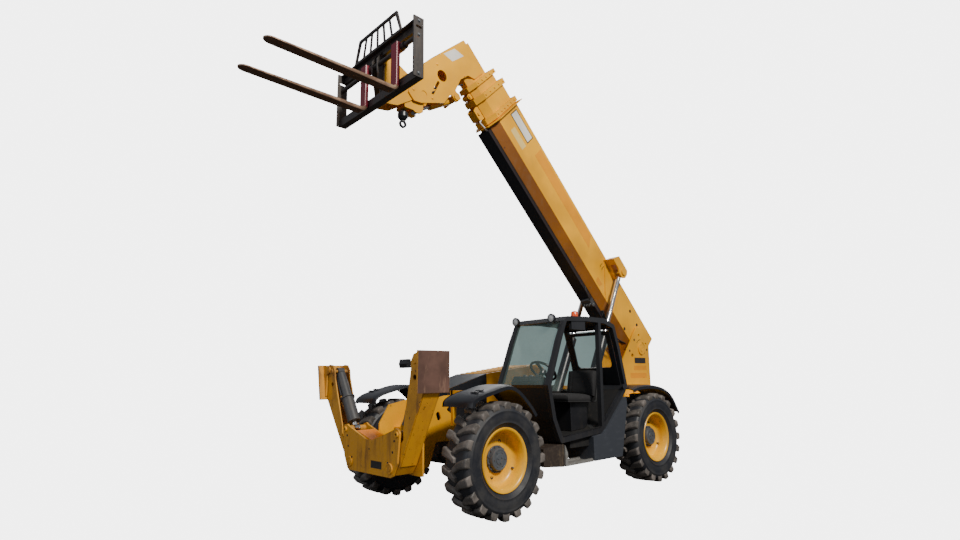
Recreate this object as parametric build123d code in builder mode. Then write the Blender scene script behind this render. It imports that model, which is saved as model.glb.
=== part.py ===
"""Telehandler with a four-section boom, pallet forks and front stabilisers.

All sizes are in millimetres.  X points forwards, Y to the machine's left and Z up.
The row's origin is on the ground under the middle of the overall length.  Sketches of
the chassis are drawn from the point on the ground midway between the axles, MID_X.
"""
from build123d import *
from math import cos, hypot, radians, sin
import os

os.makedirs("parts", exist_ok=True)

# ---------------------------------------------------------------- driving dimensions
# wheels: 15.5-25 tyres on deep-dish rims
WHEELBASE = 3220
WHEEL_Y = 1025
TYRE_R = 640
TYRE_W = 400
RIM_R = 353
LUGS_PER_SIDE = 16
LUG_HEIGHT = 38
LUG_TOP = TYRE_R - 0.6        # flat top of a lug; the corners of the next one then touch the ground
KINGPIN_OFFSET = 140          # kingpin axis inboard of the wheel's middle
SPINDLE_R = 55
PIN_GAP = 0.05                # radial running clearance of pins in their bores

# chassis
RAIL_Y = 240                  # outer face of each rail, from the boom's middle
RAIL_TOP = 960
REAR_X = -3300                # rear face of the counterweight, from mid-wheelbase
PLATE = 20

# boom
BOOM_ANGLE = 45
PIVOT_X = -3000
PIVOT_Z = 2020
BOOM_Y = -50
BOOM_PIN_R = 50
BOOM_WALL = 8
PAD_GAP = 0.5                 # wear pads' clearance
TAIL_U = -200                 # rear end of the outer section, along the boom
BOOM_TOP = 490                # top of the outer section, across the boom

# lift rams: pin on the boom (along and across it), base pin on the chassis
LIFT_U = 1432
LIFT_V = 456
LIFT_BASE = (-870, 600)
LIFT_Y = 330                  # each lift ram's middle, from the boom's middle
LIFT_EYE = 90
LIFT_EYE_R = 62
LIFT_PIN_R = 32
EAR_GAP = 6

# head and fork carriage
TILT_U = 5860
TILT_V = -1106
CARRIAGE_HALF = 915
FORK_LENGTH = 1600
FORK_W = 127
FORK_T = 50
FORK_YS = (465, -250)         # the two forks' places on the carriage, from the machine's middle

# front stabilisers
STAB_FRONT = 2610
STAB_REAR = 2315
STAB_PLATE = 25
STAB_Y = -20                  # the stabilisers' middle; the four places below are measured from it
LEG_RAISED = {"left": 5, "right": -4}   # degrees by which the legs stand higher than drawn
FOOT_LENGTH = 430
LEG_PIVOT = (420, 585)
RAM_BASE = (545, 950)
RAM_TOP = (915, 1690)
FOOT_PIN = (985, 1715)

# cab
CAB_LEFT = 1120
CAB_RIGHT = 225
CAB_TUBE = 62

# engine pod
ENGINE_Y = -475               # inner face
ENGINE_W = 670

# ---------------------------------------------------------------- frames of reference
A = radians(BOOM_ANGLE)
U = Vector(cos(A), 0, sin(A))
V = Vector(-sin(A), 0, cos(A))


def boom_point(u, v):
    """Point of the boom's middle plane, from mid-wheelbase: u along it, v across it."""
    return PIVOT_X + u * cos(A) - v * sin(A), PIVOT_Z + u * sin(A) + v * cos(A)


TILT_X, TILT_Z = boom_point(TILT_U, TILT_V)
CARRIAGE_BACK = TILT_X + 600
FORK_TIP_X = CARRIAGE_BACK + 110 + FORK_T + FORK_LENGTH
TAIL_X = boom_point(TAIL_U, BOOM_TOP)[0]
MID_X = -(FORK_TIP_X + min(REAR_X, TAIL_X)) / 2


def side_plane(y):
    """Plane seen from the left: x forwards, z up, drawn at y; extrudes towards the right."""
    return Plane(origin=(MID_X, y, 0), x_dir=(1, 0, 0), z_dir=(0, -1, 0))


def cross_plane(x):
    """Plane across the machine at x: local x is Y, local y is Z; extrudes forwards."""
    return Plane(origin=(MID_X + x, 0, 0), x_dir=(0, 1, 0), z_dir=(1, 0, 0))


def level_plane(z):
    return Plane(origin=(MID_X, 0, z), x_dir=(1, 0, 0), z_dir=(0, 0, 1))


def boom_side(y):
    """Plane along the boom, y from the boom's middle; extrudes towards the right."""
    return Plane(origin=(MID_X + PIVOT_X, BOOM_Y + y, PIVOT_Z), x_dir=U, z_dir=(0, -1, 0))


def boom_section(u):
    """Plane across the boom at u: local x is Y, local y is v; extrudes towards the head."""
    x, z = boom_point(u, 0)
    return Plane(origin=(MID_X + x, BOOM_Y, z), x_dir=(0, 1, 0), z_dir=U)


def save(builder, name):
    builder.part.label = name
    export_step(builder.part, f"parts/{name}.step")


def slab(plane, points, thickness, mode=Mode.ADD, r=0):
    """Adds an outline with corners of radius r, given thickness from its plane, to the current part."""
    with BuildSketch(plane) as outline:
        Polygon(*points, align=None)
        if r:
            fillet(outline.vertices(), r)
    extrude(outline.sketch, amount=thickness, mode=mode)


def bar(plane, place, r, length, mode=Mode.ADD):
    """Adds a round bar of radius r that starts on a plane to the current part."""
    with BuildSketch(plane) as section:
        with Locations(place):
            Circle(r)
    extrude(section.sketch, amount=length, mode=mode)


def strut(start, end, r, y_middle):
    """Adds a round bar between two (x, z) points of the machine at a given y."""
    (x0, z0), (x1, z1) = start, end
    run = Vector(x1 - x0, 0, z1 - z0)
    with BuildSketch(Plane(origin=(MID_X + x0, y_middle, z0), z_dir=run)) as section:
        Circle(r)
    extrude(section.sketch, amount=run.length)


def mirror_left_right(y=0):
    """Adds the current part's mirror image about the plane at y."""
    mirror(about=Plane.XZ.offset(-y))


FRONT_AXLE = WHEELBASE / 2
REAR_AXLE = -WHEELBASE / 2
KINGPIN_Y = WHEEL_Y - KINGPIN_OFFSET


# ---------------------------------------------------------------- chassis
FLOOR_Z = 520
RAIL_OUTLINE = [               # arched over each axle
    (-3200, 640), (REAR_AXLE - 720, 640), (REAR_AXLE - 640, 780), (REAR_AXLE + 190, 780),
    (REAR_AXLE + 280, FLOOR_Z), (FRONT_AXLE - 280, FLOOR_Z), (FRONT_AXLE - 190, 780), (FRONT_AXLE + 190, 780),
    (FRONT_AXLE + 290, 500), (STAB_REAR, 480), (STAB_REAR, 860), (2200, RAIL_TOP),
    (-3200, RAIL_TOP),
]
NOSE_PLATE = [(1560, 940), (1560, 1110), (1640, 1160), (1560, 1215), (1560, 1330), (1660, 1330), (1900, 1285),
              (2180, 1230), (2315, 1010), (2315, 860)]
TIE_DOWN = (1760, 1085)       # middle of the oval lashing slot in each nose plate
with BuildPart() as chassis:
    right, left = BOOM_Y - RAIL_Y, BOOM_Y + RAIL_Y
    slab(side_plane(left), RAIL_OUTLINE, PLATE)
    slab(side_plane(left), NOSE_PLATE, PLATE, r=18)
    mirror_left_right(BOOM_Y)
    # floor and deck plates and cross walls make the rails one box
    slab(level_plane(RAIL_TOP - PLATE), [(-3200, right), (2100, right), (2100, left), (-3200, left)], PLATE)
    slab(level_plane(FLOOR_Z), [(REAR_AXLE + 310, right), (FRONT_AXLE - 310, right), (FRONT_AXLE - 310, left),
                                (REAR_AXLE + 310, left)], PLATE)
    for x in (REAR_AXLE + 280, FRONT_AXLE - 300, STAB_REAR - 25):
        slab(cross_plane(x), [(right, FLOOR_Z), (left, FLOOR_Z), (left, 850), (right, 850)], PLATE)
    # oval tie-down slots in the nose plates
    with BuildSketch(side_plane(left + 10)) as slots:
        with Locations(TIE_DOWN):
            SlotOverall(110, 60, rotation=70)
    extrude(slots.sketch, amount=2 * RAIL_Y + 20, mode=Mode.SUBTRACT)
    # brackets for the lift rams' base pins
    bx, bz = LIFT_BASE
    for side in (1, -1):
        for face in (LIFT_Y - 65, LIFT_Y + 45):
            slab(side_plane(BOOM_Y + max(side * face, side * (face + 20))),
                 [(bx - 85, bz - 88), (bx + 85, bz - 88), (bx + 85, bz + 30), (bx + 30, bz + 85),
                  (bx - 30, bz + 85), (bx - 85, bz + 30)], 20)
        slab(side_plane(BOOM_Y + max(side * RAIL_Y, side * (LIFT_Y + 65))),
             [(bx - 85, bz - 88), (bx + 85, bz - 88), (bx + 85, bz - 64), (bx - 85, bz - 64)],
             LIFT_Y + 65 - RAIL_Y)
    # cradle below the cab and outriggers to the engine
    slab(side_plane(1060), [(-99.7, 640), (300, 640), (300, 740), (-99.7, 768.5)], 1060 - left)
    for x in (-500, 250):
        slab(side_plane(right), [(x, 700), (x + 100, 700), (x + 100, 800), (x, 800)], right - ENGINE_Y)
save(chassis, "chassis_frame")

# ---------------------------------------------------------------- boom tower
TOWER_OUTLINE = [
    (-3200, RAIL_TOP), (-3200, 1182), (-3245, 1182), (-3278, 2285), (-3180, 2380), (-2890, 2415),
    (-2349, 1778), (-2370, RAIL_TOP),
]
TOWER_Y = 212                # inner face of each tower plate, from the boom's middle
TOWER_PLATE = 25
TOWER_HOLES = [((-2950, 2270), 24), ((-2700, 1900), 34), ((-3170, 2120), 20)]
with BuildPart() as tower:
    slab(side_plane(BOOM_Y + TOWER_Y + TOWER_PLATE), TOWER_OUTLINE, TOWER_PLATE, r=18)
    bar(side_plane(BOOM_Y + TOWER_Y + TOWER_PLATE + 18), (PIVOT_X, PIVOT_Z), 105, 18)
    for place, size in TOWER_HOLES:
        bar(side_plane(BOOM_Y + TOWER_Y + TOWER_PLATE), place, size, TOWER_PLATE, Mode.SUBTRACT)
    mirror_left_right(BOOM_Y)
    slab(cross_plane(-3200), [(BOOM_Y - TOWER_Y, RAIL_TOP), (BOOM_Y + TOWER_Y, RAIL_TOP),
                              (BOOM_Y + TOWER_Y, 1560), (BOOM_Y - TOWER_Y, 1560)], PLATE)
    slab(cross_plane(-2420), [(BOOM_Y - TOWER_Y, RAIL_TOP), (BOOM_Y + TOWER_Y, RAIL_TOP),
                              (BOOM_Y + TOWER_Y, 1400), (BOOM_Y - TOWER_Y, 1400)], PLATE)
    # the boom's pivot pin
    bar(side_plane(BOOM_Y + TOWER_Y + TOWER_PLATE), (PIVOT_X, PIVOT_Z), BOOM_PIN_R,
        2 * (TOWER_Y + TOWER_PLATE))
save(tower, "boom_tower")

# ---------------------------------------------------------------- counterweight
WEIGHT_FRONT = -2420          # its cheeks end behind the rear wheels
WEIGHT_HALF = 620
WEIGHT_LOW = 560
with BuildPart() as counterweight:
    cheek, corner = WEIGHT_HALF, WEIGHT_HALF - 140
    with BuildSketch(level_plane(WEIGHT_LOW)) as footprint:
        Polygon((REAR_X, -corner), (REAR_X, corner), (REAR_X + 120, cheek), (WEIGHT_FRONT, cheek),
                (WEIGHT_FRONT, BOOM_Y + RAIL_Y), (-3222, BOOM_Y + RAIL_Y), (-3222, BOOM_Y - RAIL_Y),
                (WEIGHT_FRONT, BOOM_Y - RAIL_Y), (WEIGHT_FRONT, -cheek), (REAR_X + 120, -cheek), align=None)
    extrude(footprint.sketch, amount=620)
    # raked lower rear corner
    slab(side_plane(cheek + 80), [(REAR_X - 10, WEIGHT_LOW - 10), (REAR_X + 260, WEIGHT_LOW - 10),
                                  (REAR_X - 10, WEIGHT_LOW + 200)], 2 * cheek + 160, Mode.SUBTRACT)
save(counterweight, "counterweight")

# ---------------------------------------------------------------- axles
AXLE_R = 105
YOKE_X = 70
YOKE_Y = KINGPIN_Y - 245      # back of each yoke
with BuildPart() as axles:
    for x in (FRONT_AXLE, REAR_AXLE):
        bar(side_plane(YOKE_Y + 60), (x, TYRE_R), AXLE_R, 2 * YOKE_Y + 120)
        bar(side_plane(140), (x, TYRE_R), 136, 380)
        slab(side_plane(BOOM_Y + RAIL_Y), [(x - 140, TYRE_R), (x + 140, TYRE_R), (x + 140, 780), (x - 140, 780)],
             2 * RAIL_Y)
        for side in (1, -1):
            # C-shaped yoke that holds the kingpins above and below the knuckle
            for z in (TYRE_R + 178, TYRE_R - 178 - 40):
                slab(level_plane(z), [(x - YOKE_X, side * YOKE_Y), (x + YOKE_X, side * YOKE_Y),
                                      (x + YOKE_X, side * (KINGPIN_Y + 45)), (x - YOKE_X, side * (KINGPIN_Y + 45))], 40)
                bar(level_plane(z), (x, side * KINGPIN_Y), 30 + PIN_GAP, 40, Mode.SUBTRACT)
            y0, y1 = side * YOKE_Y, side * (YOKE_Y + 60)
            slab(cross_plane(x - YOKE_X), [(y0, TYRE_R - 218), (y1, TYRE_R - 218), (y1, TYRE_R + 218),
                                           (y0, TYRE_R + 218)], 2 * YOKE_X)
save(axles, "axle_beams")

BEAD_SEAT_R = 318             # outside of the rim between its flanges
BEAD_Y = 149.5                # half the tyre's width at the rim
TYRE_FLATS = 2 * LUGS_PER_SIDE
FLAT = 360 / TYRE_FLATS
CARCASS = [                   # place across the tyre, radius of the corners
    (-BEAD_Y, RIM_R + 4), (-196, 470), (-186, 566), (-150, TYRE_R - LUG_HEIGHT),
    (150, TYRE_R - LUG_HEIGHT), (186, 566), (196, 470), (BEAD_Y, RIM_R + 4),
]
LUG_PLAN = [(200, -66), (200, 2), (62, 42), (-6, 66), (-6, 12), (62, -14)]

KNUCKLE_H = 176
CORNERS = {                   # corner name: (axle x, side)
    "front_left": (FRONT_AXLE, 1), "front_right": (FRONT_AXLE, -1),
    "rear_left": (REAR_AXLE, 1), "rear_right": (REAR_AXLE, -1),
}
HUB_Y = 1000                  # inner face of the rim's disc
for corner, (x, side) in CORNERS.items():
    with BuildPart() as knuckle:
        bar(level_plane(TYRE_R - KNUCKLE_H), (x, side * KINGPIN_Y), 62, 2 * KNUCKLE_H)
        bar(level_plane(TYRE_R - KNUCKLE_H - 38), (x, side * KINGPIN_Y), 30, 2 * KNUCKLE_H + 76)
        with BuildSketch(Plane(origin=(MID_X + x, side * (KINGPIN_Y - 70), TYRE_R), z_dir=(0, side, 0))) as drum:
            Circle(125)
        extrude(drum.sketch, amount=140)
        with BuildSketch(Plane(origin=(MID_X + x, side * KINGPIN_Y, TYRE_R), z_dir=(0, side, 0))) as spindle:
            Circle(SPINDLE_R)
        extrude(spindle.sketch, amount=200)
    save(knuckle, f"knuckle_{corner}")

    # deep-dish rim: barrel, flanges, disc and the hub's end, turned about the axle line
    with BuildPart() as rim:
        with BuildSketch(Plane(origin=(MID_X + x, side * WHEEL_Y, TYRE_R), x_dir=(0, side, 0), z_dir=(1, 0, 0))):
            Polygon((-165, RIM_R), (-150, RIM_R), (-150, BEAD_SEAT_R), (150, BEAD_SEAT_R), (150, RIM_R),
                    (165, RIM_R), (165, 305), (5, 286), (5, 145), (75, 132), (75, 0),
                    (62, 0), (62, SPINDLE_R + PIN_GAP), (-12, SPINDLE_R + PIN_GAP), (-12, 286),
                    (-165, 305), align=None)
        revolve(axis=Axis((MID_X + x, 0, TYRE_R), (0, 1, 0)), revolution_arc=360)
    save(rim, f"rim_{corner}")

    # tyre carcass, one flat under each lug, with chevron lugs
    with BuildPart() as tyre:
        for y, r in CARCASS:
            with BuildSketch(Plane(origin=(MID_X + x, side * WHEEL_Y + y, TYRE_R), x_dir=(1, 0, 0), z_dir=(0, 1, 0))):
                RegularPolygon(r, TYRE_FLATS, rotation=FLAT / 2)
        loft(ruled=True)
        with BuildSketch(Plane(origin=(MID_X + x, side * WHEEL_Y - BEAD_Y, TYRE_R), x_dir=(1, 0, 0), z_dir=(0, 1, 0))) as hole:
            RegularPolygon(BEAD_SEAT_R + 0.5, TYRE_FLATS, major_radius=False, rotation=FLAT / 2)
        extrude(hole.sketch, amount=2 * BEAD_Y, mode=Mode.SUBTRACT)
        # one lug of each row, drawn in plan on top of the tread
        axle_line = Axis((MID_X + x, 0, TYRE_R), (0, 1, 0))
        for row in (1, -1):
            with BuildSketch(Plane(origin=(MID_X + x, side * WHEEL_Y, TYRE_R + LUG_TOP), x_dir=(0, 1, 0),
                                   z_dir=(0, 0, -1))) as lug:
                Polygon(*[(row * y, z) for y, z in LUG_PLAN], align=None)
            solid = extrude(lug.sketch, amount=LUG_HEIGHT + 30, mode=Mode.PRIVATE)
            for k in range(LUGS_PER_SIDE):
                add(solid.rotate(axle_line, (2 * k + 0.5 * (1 - row)) * FLAT))
    save(tyre, f"tyre_{corner}")

# ---------------------------------------------------------------- boom
# section: half width, bottom v, top v, v where the side meets the chamfer, bottom half width,
#          rear end u, front end u, collar length, collar thickness
SECTIONS = {
    "boom_outer": (195, -250, BOOM_TOP, -100, 100, TAIL_U, 5030, 80, 28),
    "boom_second": (168, -222, 458, -86, 86, 280, 5370, 90, 36),
    "boom_third": (141, -194, 408, -72, 72, 460, 5565, 70, 40),
    "boom_fourth": (114, -166, 300, -58, 60, 640, 6080, 0, 0),
}


def section_points(half, bottom, top, low, narrow, grow=0):
    """Outline of a boom section, grown by a thickness on every side."""
    return [(-half - grow, top + grow), (-half - grow, low - 0.4 * grow), (-narrow - 0.4 * grow, bottom - grow),
            (narrow + 0.4 * grow, bottom - grow), (half + grow, low - 0.4 * grow), (half + grow, top + grow)]


def boom_tube(name):
    """Adds a boom section with its collar to the current part."""
    half, bottom, top, low, narrow, start, end, collar, thick = SECTIONS[name]
    shape = (half, bottom, top, low, narrow)
    slab(boom_section(start), section_points(*shape), end - start)
    if collar:
        slab(boom_section(end - collar), section_points(*shape, grow=thick), collar)
    slab(boom_section(start - 1), section_points(*shape, grow=-BOOM_WALL), end - start + 2, Mode.SUBTRACT)


def wear_pads(name, inner, u, length):
    """Adds wear pads inside a section's front end that guide the next section."""
    half, bottom, top, low, narrow = SECTIONS[name][:5]
    h2, b2, t2, l2, n2 = SECTIONS[inner][:5]
    w = BOOM_WALL
    for side in (1, -1):
        slab(boom_section(u), [(side * (h2 + PAD_GAP), t2 - 120), (side * (half - w), t2 - 120),
                               (side * (half - w), t2 - 20), (side * (h2 + PAD_GAP), t2 - 20)], length)
        slab(boom_section(u), [(side * (h2 + PAD_GAP), 0), (side * (half - w), 0),
                               (side * (half - w), 90), (side * (h2 + PAD_GAP), 90)], length)
        slab(boom_section(u), [(side * 20, t2 + PAD_GAP), (side * (h2 - 15), t2 + PAD_GAP),
                               (side * (h2 - 15), top - w), (side * 20, top - w)], length)
    slab(boom_section(u), [(-n2 + 15, b2 - PAD_GAP), (n2 - 15, b2 - PAD_GAP),
                           (n2 - 15, bottom + w), (-n2 + 15, bottom + w)], length)


with BuildPart() as outer:
    boom_tube("boom_outer")
    half, bottom, top = SECTIONS["boom_outer"][:3]
    wear_pads("boom_outer", "boom_second", 4880, 148)
    # flange ring behind the collar
    shape = SECTIONS["boom_outer"][:5]
    with BuildSketch(boom_section(4918)) as ring:
        Polygon(*section_points(*shape, grow=78), align=None)
        Polygon(*section_points(*shape, grow=-1), align=None, mode=Mode.SUBTRACT)
    extrude(ring.sketch, amount=14)
    # pivot tube
    bar(boom_side(half), (0, 0), 92, 2 * half)
    bar(boom_side(half + 12), (0, 0), 92, 12)
    bar(boom_side(-half), (0, 0), 92, 12)
    bar(boom_side(half + 12), (0, 0), BOOM_PIN_R + PIN_GAP, 2 * half + 24, Mode.SUBTRACT)
    # lift ram brackets: doubler, then a pocket of two ears round the eye, open downwards
    ear_in = LIFT_Y - LIFT_EYE / 2 - EAR_GAP
    ear_out = LIFT_Y + LIFT_EYE / 2 + EAR_GAP
    doubler = [(LIFT_U - 130, LIFT_V - 560), (LIFT_U + 330, LIFT_V - 60), (LIFT_U + 230, LIFT_V + 34),
               (LIFT_U - 150, LIFT_V + 34), (LIFT_U - 230, LIFT_V - 60)]
    ear = [(LIFT_U - 115, LIFT_V - 30), (LIFT_U - 60, LIFT_V - 105), (LIFT_U + 60, LIFT_V - 105),
           (LIFT_U + 130, LIFT_V - 60), (LIFT_U + 350, LIFT_V - 60), (LIFT_U + 260, LIFT_V + 130),
           (LIFT_U - 70, LIFT_V + 130), (LIFT_U - 115, LIFT_V + 60)]
    for side in (1, -1):
        slab(boom_side(max(side * half, side * (half + 16))), doubler, 16)
        slab(boom_side(max(side * half, side * ear_in)), ear, ear_in - half)
        slab(boom_side(max(side * ear_out, side * (ear_out + 20))), ear, 20, r=20)
        # shelf between the ears, clear of the eye's path
        slab(boom_side(max(side * half, side * (ear_out + 20))),
             [(LIFT_U + 225, LIFT_V - 60), (LIFT_U + 350, LIFT_V - 60), (LIFT_U + 260, LIFT_V + 130),
              (LIFT_U + 225, LIFT_V + 130)], ear_out + 20 - half)
        bar(boom_side(max(side * (ear_out + 20), side * (ear_out + 40))), (LIFT_U, LIFT_V), 60, 20)
save(outer, "boom_outer")

TRAY_TOP = SECTIONS["boom_outer"][1]
with BuildPart() as tray:
    slab(boom_section(900), [(-95, TRAY_TOP), (-115, TRAY_TOP - 95), (115, TRAY_TOP - 95), (95, TRAY_TOP)], 3980)
    slab(boom_section(890), [(-89, TRAY_TOP), (-108, TRAY_TOP - 89), (108, TRAY_TOP - 89), (89, TRAY_TOP)],
         4000, Mode.SUBTRACT)
    slab(boom_section(900), [(-95, TRAY_TOP), (-95, TRAY_TOP - 8), (95, TRAY_TOP - 8), (95, TRAY_TOP)], 3980)
save(tray, "hose_tray")


def hose_guide(name, u, length, depth):
    """Adds the hanging guide for hoses under a section's front end: two plates, a floor and a pin."""
    bottom, narrow = SECTIONS[name][1], SECTIONS[name][4]
    plate = [(u, bottom + 4), (u, bottom - 0.6 * depth), (u + 30, bottom - depth), (u + length - 20, bottom - depth),
             (u + length, bottom - 0.5 * depth), (u + length, bottom + 4)]
    for y in (narrow - 12, -narrow + 22):
        slab(boom_side(y), plate, 10)
    slab(boom_section(u + 30), [(-narrow + 12, bottom - depth), (narrow - 12, bottom - depth),
                                (narrow - 12, bottom - depth + 8), (-narrow + 12, bottom - depth + 8)], length - 60)
    bar(boom_side(narrow + 4), (u + length / 2, bottom - 0.55 * depth), 24, 2 * narrow + 8)


with BuildPart() as second:
    boom_tube("boom_second")
    hose_guide("boom_second", 5052, 210, 120)
    wear_pads("boom_second", "boom_third", 5230, 138)
save(second, "boom_second")

with BuildPart() as third:
    boom_tube("boom_third")
    hose_guide("boom_third", 5392, 90, 90)
    wear_pads("boom_third", "boom_fourth", 5430, 133)
save(third, "boom_third")

# fourth section with the nose that carries the forks
HEAD_OUTLINE = [
    (5600, 240), (6145, 225), (6165, -140), (6195, -735), (6100, -1150), (6010, -1325), (5870, -1330),
    (5790, -1240), (5600, -860), (5640, -640), (5500, -640), (5500, -505), (5640, -520), (5720, -300),
    (5700, -110), (5600, -20),
]
NOSE_HALF = 134
NOSE_PLATE_T = 20
BIG_HOLE = (5915, -601, 85)
HOSE_WINDOW = (5834, -848, 270, 42, 71)
CARRIAGE_PIN_R = 48
PIN_INSIDE = 64               # the carriage pin's halves leave the middle free for the tilt ram
PIN_RECESS = 8
TILT_BASE = (5560, -571)      # the tilt ram's base pin
with BuildPart() as fourth:
    boom_tube("boom_fourth")
    for y in (NOSE_HALF, -NOSE_HALF + NOSE_PLATE_T):
        slab(boom_side(y), HEAD_OUTLINE, NOSE_PLATE_T, r=22)
        bar(boom_side(y), BIG_HOLE[:2], BIG_HOLE[2], NOSE_PLATE_T, Mode.SUBTRACT)
        # slanted window for the carriage hoses
        with BuildSketch(boom_side(y)) as window:
            with Locations(HOSE_WINDOW[:2]):
                SlotOverall(HOSE_WINDOW[2], HOSE_WINDOW[3], rotation=HOSE_WINDOW[4])
        extrude(window.sketch, amount=NOSE_PLATE_T, mode=Mode.SUBTRACT)
    # front face and top of the nose
    inner = NOSE_HALF - NOSE_PLATE_T
    slab(boom_side(inner), [(6125, 225), (6145, 225), (6165, -140), (6185, -600), (6165, -600), (6145, -140)], 2 * inner)
    # the carriage pin's two halves, each end a little inside its plate's face
    for y in (NOSE_HALF, -PIN_INSIDE):
        bar(boom_side(y), (TILT_U, TILT_V), CARRIAGE_PIN_R, NOSE_HALF - PIN_INSIDE)
    bar(boom_side(NOSE_HALF), (TILT_U, TILT_V), CARRIAGE_PIN_R, PIN_RECESS, Mode.SUBTRACT)
    bar(boom_side(-NOSE_HALF + PIN_RECESS), (TILT_U, TILT_V), CARRIAGE_PIN_R, PIN_RECESS, Mode.SUBTRACT)
    bar(boom_side(NOSE_HALF + 15), TILT_BASE, 56, 15)
    bar(boom_side(-NOSE_HALF), TILT_BASE, 56, 15)
    # inner bosses on either side of the tilt ram's base eye
    bar(boom_side(inner), TILT_BASE, 50, inner - 40)
    bar(boom_side(-40), TILT_BASE, 50, inner - 40)
save(fourth, "boom_nose")

# ---------------------------------------------------------------- fork carriage
# places are from the carriage pin: x forwards, z up, y from the boom's middle
TX, TZ = TILT_X, TILT_Z
LUG = (65, -224)              # the tilt ram's pin
HOOK = (255, -270)            # top of the load hook
HOOK_BALL_R = 70
BACK = 600
with BuildPart() as hitch:
    lug_plate = [(-85, 40), (0, 90), (90, 60), (HOOK[0] + 40, HOOK[1] + 90), (HOOK[0] + 40, HOOK[1]),
                 (LUG[0] + 85, HOOK[1]), (LUG[0] + 50, LUG[1] - 66), (LUG[0] - 25, LUG[1] - 66),
                 (LUG[0] - 80, LUG[1] - 26), (-10, -120)]
    for y in (95, -75):
        slab(side_plane(BOOM_Y + y), [(TX + x, TZ + z) for x, z in lug_plate], 20, r=16)
    # bosses on either side of the tilt ram's eye, and the plate the hook hangs from
    for y in (75, -36):
        bar(side_plane(BOOM_Y + y), (TX + LUG[0], TZ + LUG[1]), 45, 39)
    slab(side_plane(BOOM_Y + 80), [(TX + HOOK[0] - 35, TZ + HOOK[1]), (TX + HOOK[0] + 35, TZ + HOOK[1]),
                                   (TX + HOOK[0] + 35, TZ + HOOK[1] + 18), (TX + HOOK[0] - 35, TZ + HOOK[1] + 18)], 160)
    for y in (112, -PIN_INSIDE):
        bar(side_plane(BOOM_Y + y), (TX, TZ), 80, 112 - PIN_INSIDE)
    # arms out to the carriage
    for y in (112, -92):
        slab(side_plane(BOOM_Y + y), [(TX + x, TZ + z) for x, z in
             [(0, 75), (60, -60), (420, -300), (BACK, -330), (BACK, 360), (420, 300)]], 20)
    bar(side_plane(BOOM_Y + 112), (TX, TZ), CARRIAGE_PIN_R + PIN_GAP, 224, Mode.SUBTRACT)
    slab(cross_plane(TX + BACK - 20), [(BOOM_Y - 92, TZ - 330), (BOOM_Y + 92, TZ - 330),
                                       (BOOM_Y + 92, TZ + 360), (BOOM_Y - 92, TZ + 360)], 20)
save(hitch, "carriage_hitch")

BAR_LOW = TZ - 335
BAR_HIGH = TZ + 455
SHAFT_X = BACK + 75
SHAFT_Z = 215
SHAFT_R = 30
with BuildPart() as carriage:
    y0, y1 = BOOM_Y - CARRIAGE_HALF, BOOM_Y + CARRIAGE_HALF
    for z in (BAR_LOW, BAR_HIGH - 110):
        slab(cross_plane(TX + BACK), [(y0, z), (y1, z), (y1, z + 110), (y0, z + 110)], 40 if z > TZ else 100)
    slab(cross_plane(TX + BACK), [(y0, BAR_HIGH - 20), (y1, BAR_HIGH - 20), (y1, BAR_HIGH), (y0, BAR_HIGH)], 100)
    for y in (y1, y0 + PLATE):
        slab(side_plane(y), [(TX + BACK, BAR_LOW), (TX + BACK + 150, BAR_LOW), (TX + BACK + 150, BAR_HIGH),
                             (TX + BACK, BAR_HIGH)], PLATE)
    bar(side_plane(y1), (TX + SHAFT_X, TZ + SHAFT_Z), SHAFT_R, y1 - y0)
    with BuildSketch(side_plane(y1)) as slot:
        with Locations((TX + SHAFT_X, TZ + SHAFT_Z + 105)):
            SlotOverall(90, 34)
    extrude(slot.sketch, amount=y1 - y0, mode=Mode.SUBTRACT)
    # collars that keep the forks in place on the shaft
    for y in FORK_YS:
        for face in (y + FORK_W / 2 + 61, y - FORK_W / 2 - 1):
            bar(side_plane(face), (TX + SHAFT_X, TZ + SHAFT_Z), 46, 60)
    for y in (-60, 60):
        slab(side_plane(BOOM_Y + y + 10), [(TX + BACK, BAR_LOW + 50), (TX + BACK + 40, BAR_LOW + 50),
                                           (TX + SHAFT_X + 45, TZ + 150), (TX + SHAFT_X + 45, TZ + 280),
                                           (TX + BACK + 40, BAR_HIGH - 50), (TX + BACK, BAR_HIGH - 50)], PLATE)
save(carriage, "fork_carriage")

with BuildPart() as backrest:
    z0, z1 = BAR_HIGH, BAR_HIGH + 330
    x = TX + BACK + 60
    outer_edge = [(-560, z0), (560, z0), (450, z1), (-450, z1)]
    inner_edge = [(-520, z0 + 30), (520, z0 + 30), (418, z1 - 35), (-418, z1 - 35)]
    with BuildSketch(cross_plane(x)) as frame_edge:
        Polygon(*[(BOOM_Y + y, z) for y, z in outer_edge], align=None)
        Polygon(*[(BOOM_Y + y, z) for y, z in inner_edge], align=None, mode=Mode.SUBTRACT)
    extrude(frame_edge.sketch, amount=30)
    for k in range(-2, 3):
        low, high = BOOM_Y + k * 170, BOOM_Y + k * 138
        slab(cross_plane(x + 5), [(low - 14, z0 + 25), (low + 14, z0 + 25), (high + 14, z1 - 30), (high - 14, z1 - 30)], 20)
save(backrest, "load_backrest")

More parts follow.
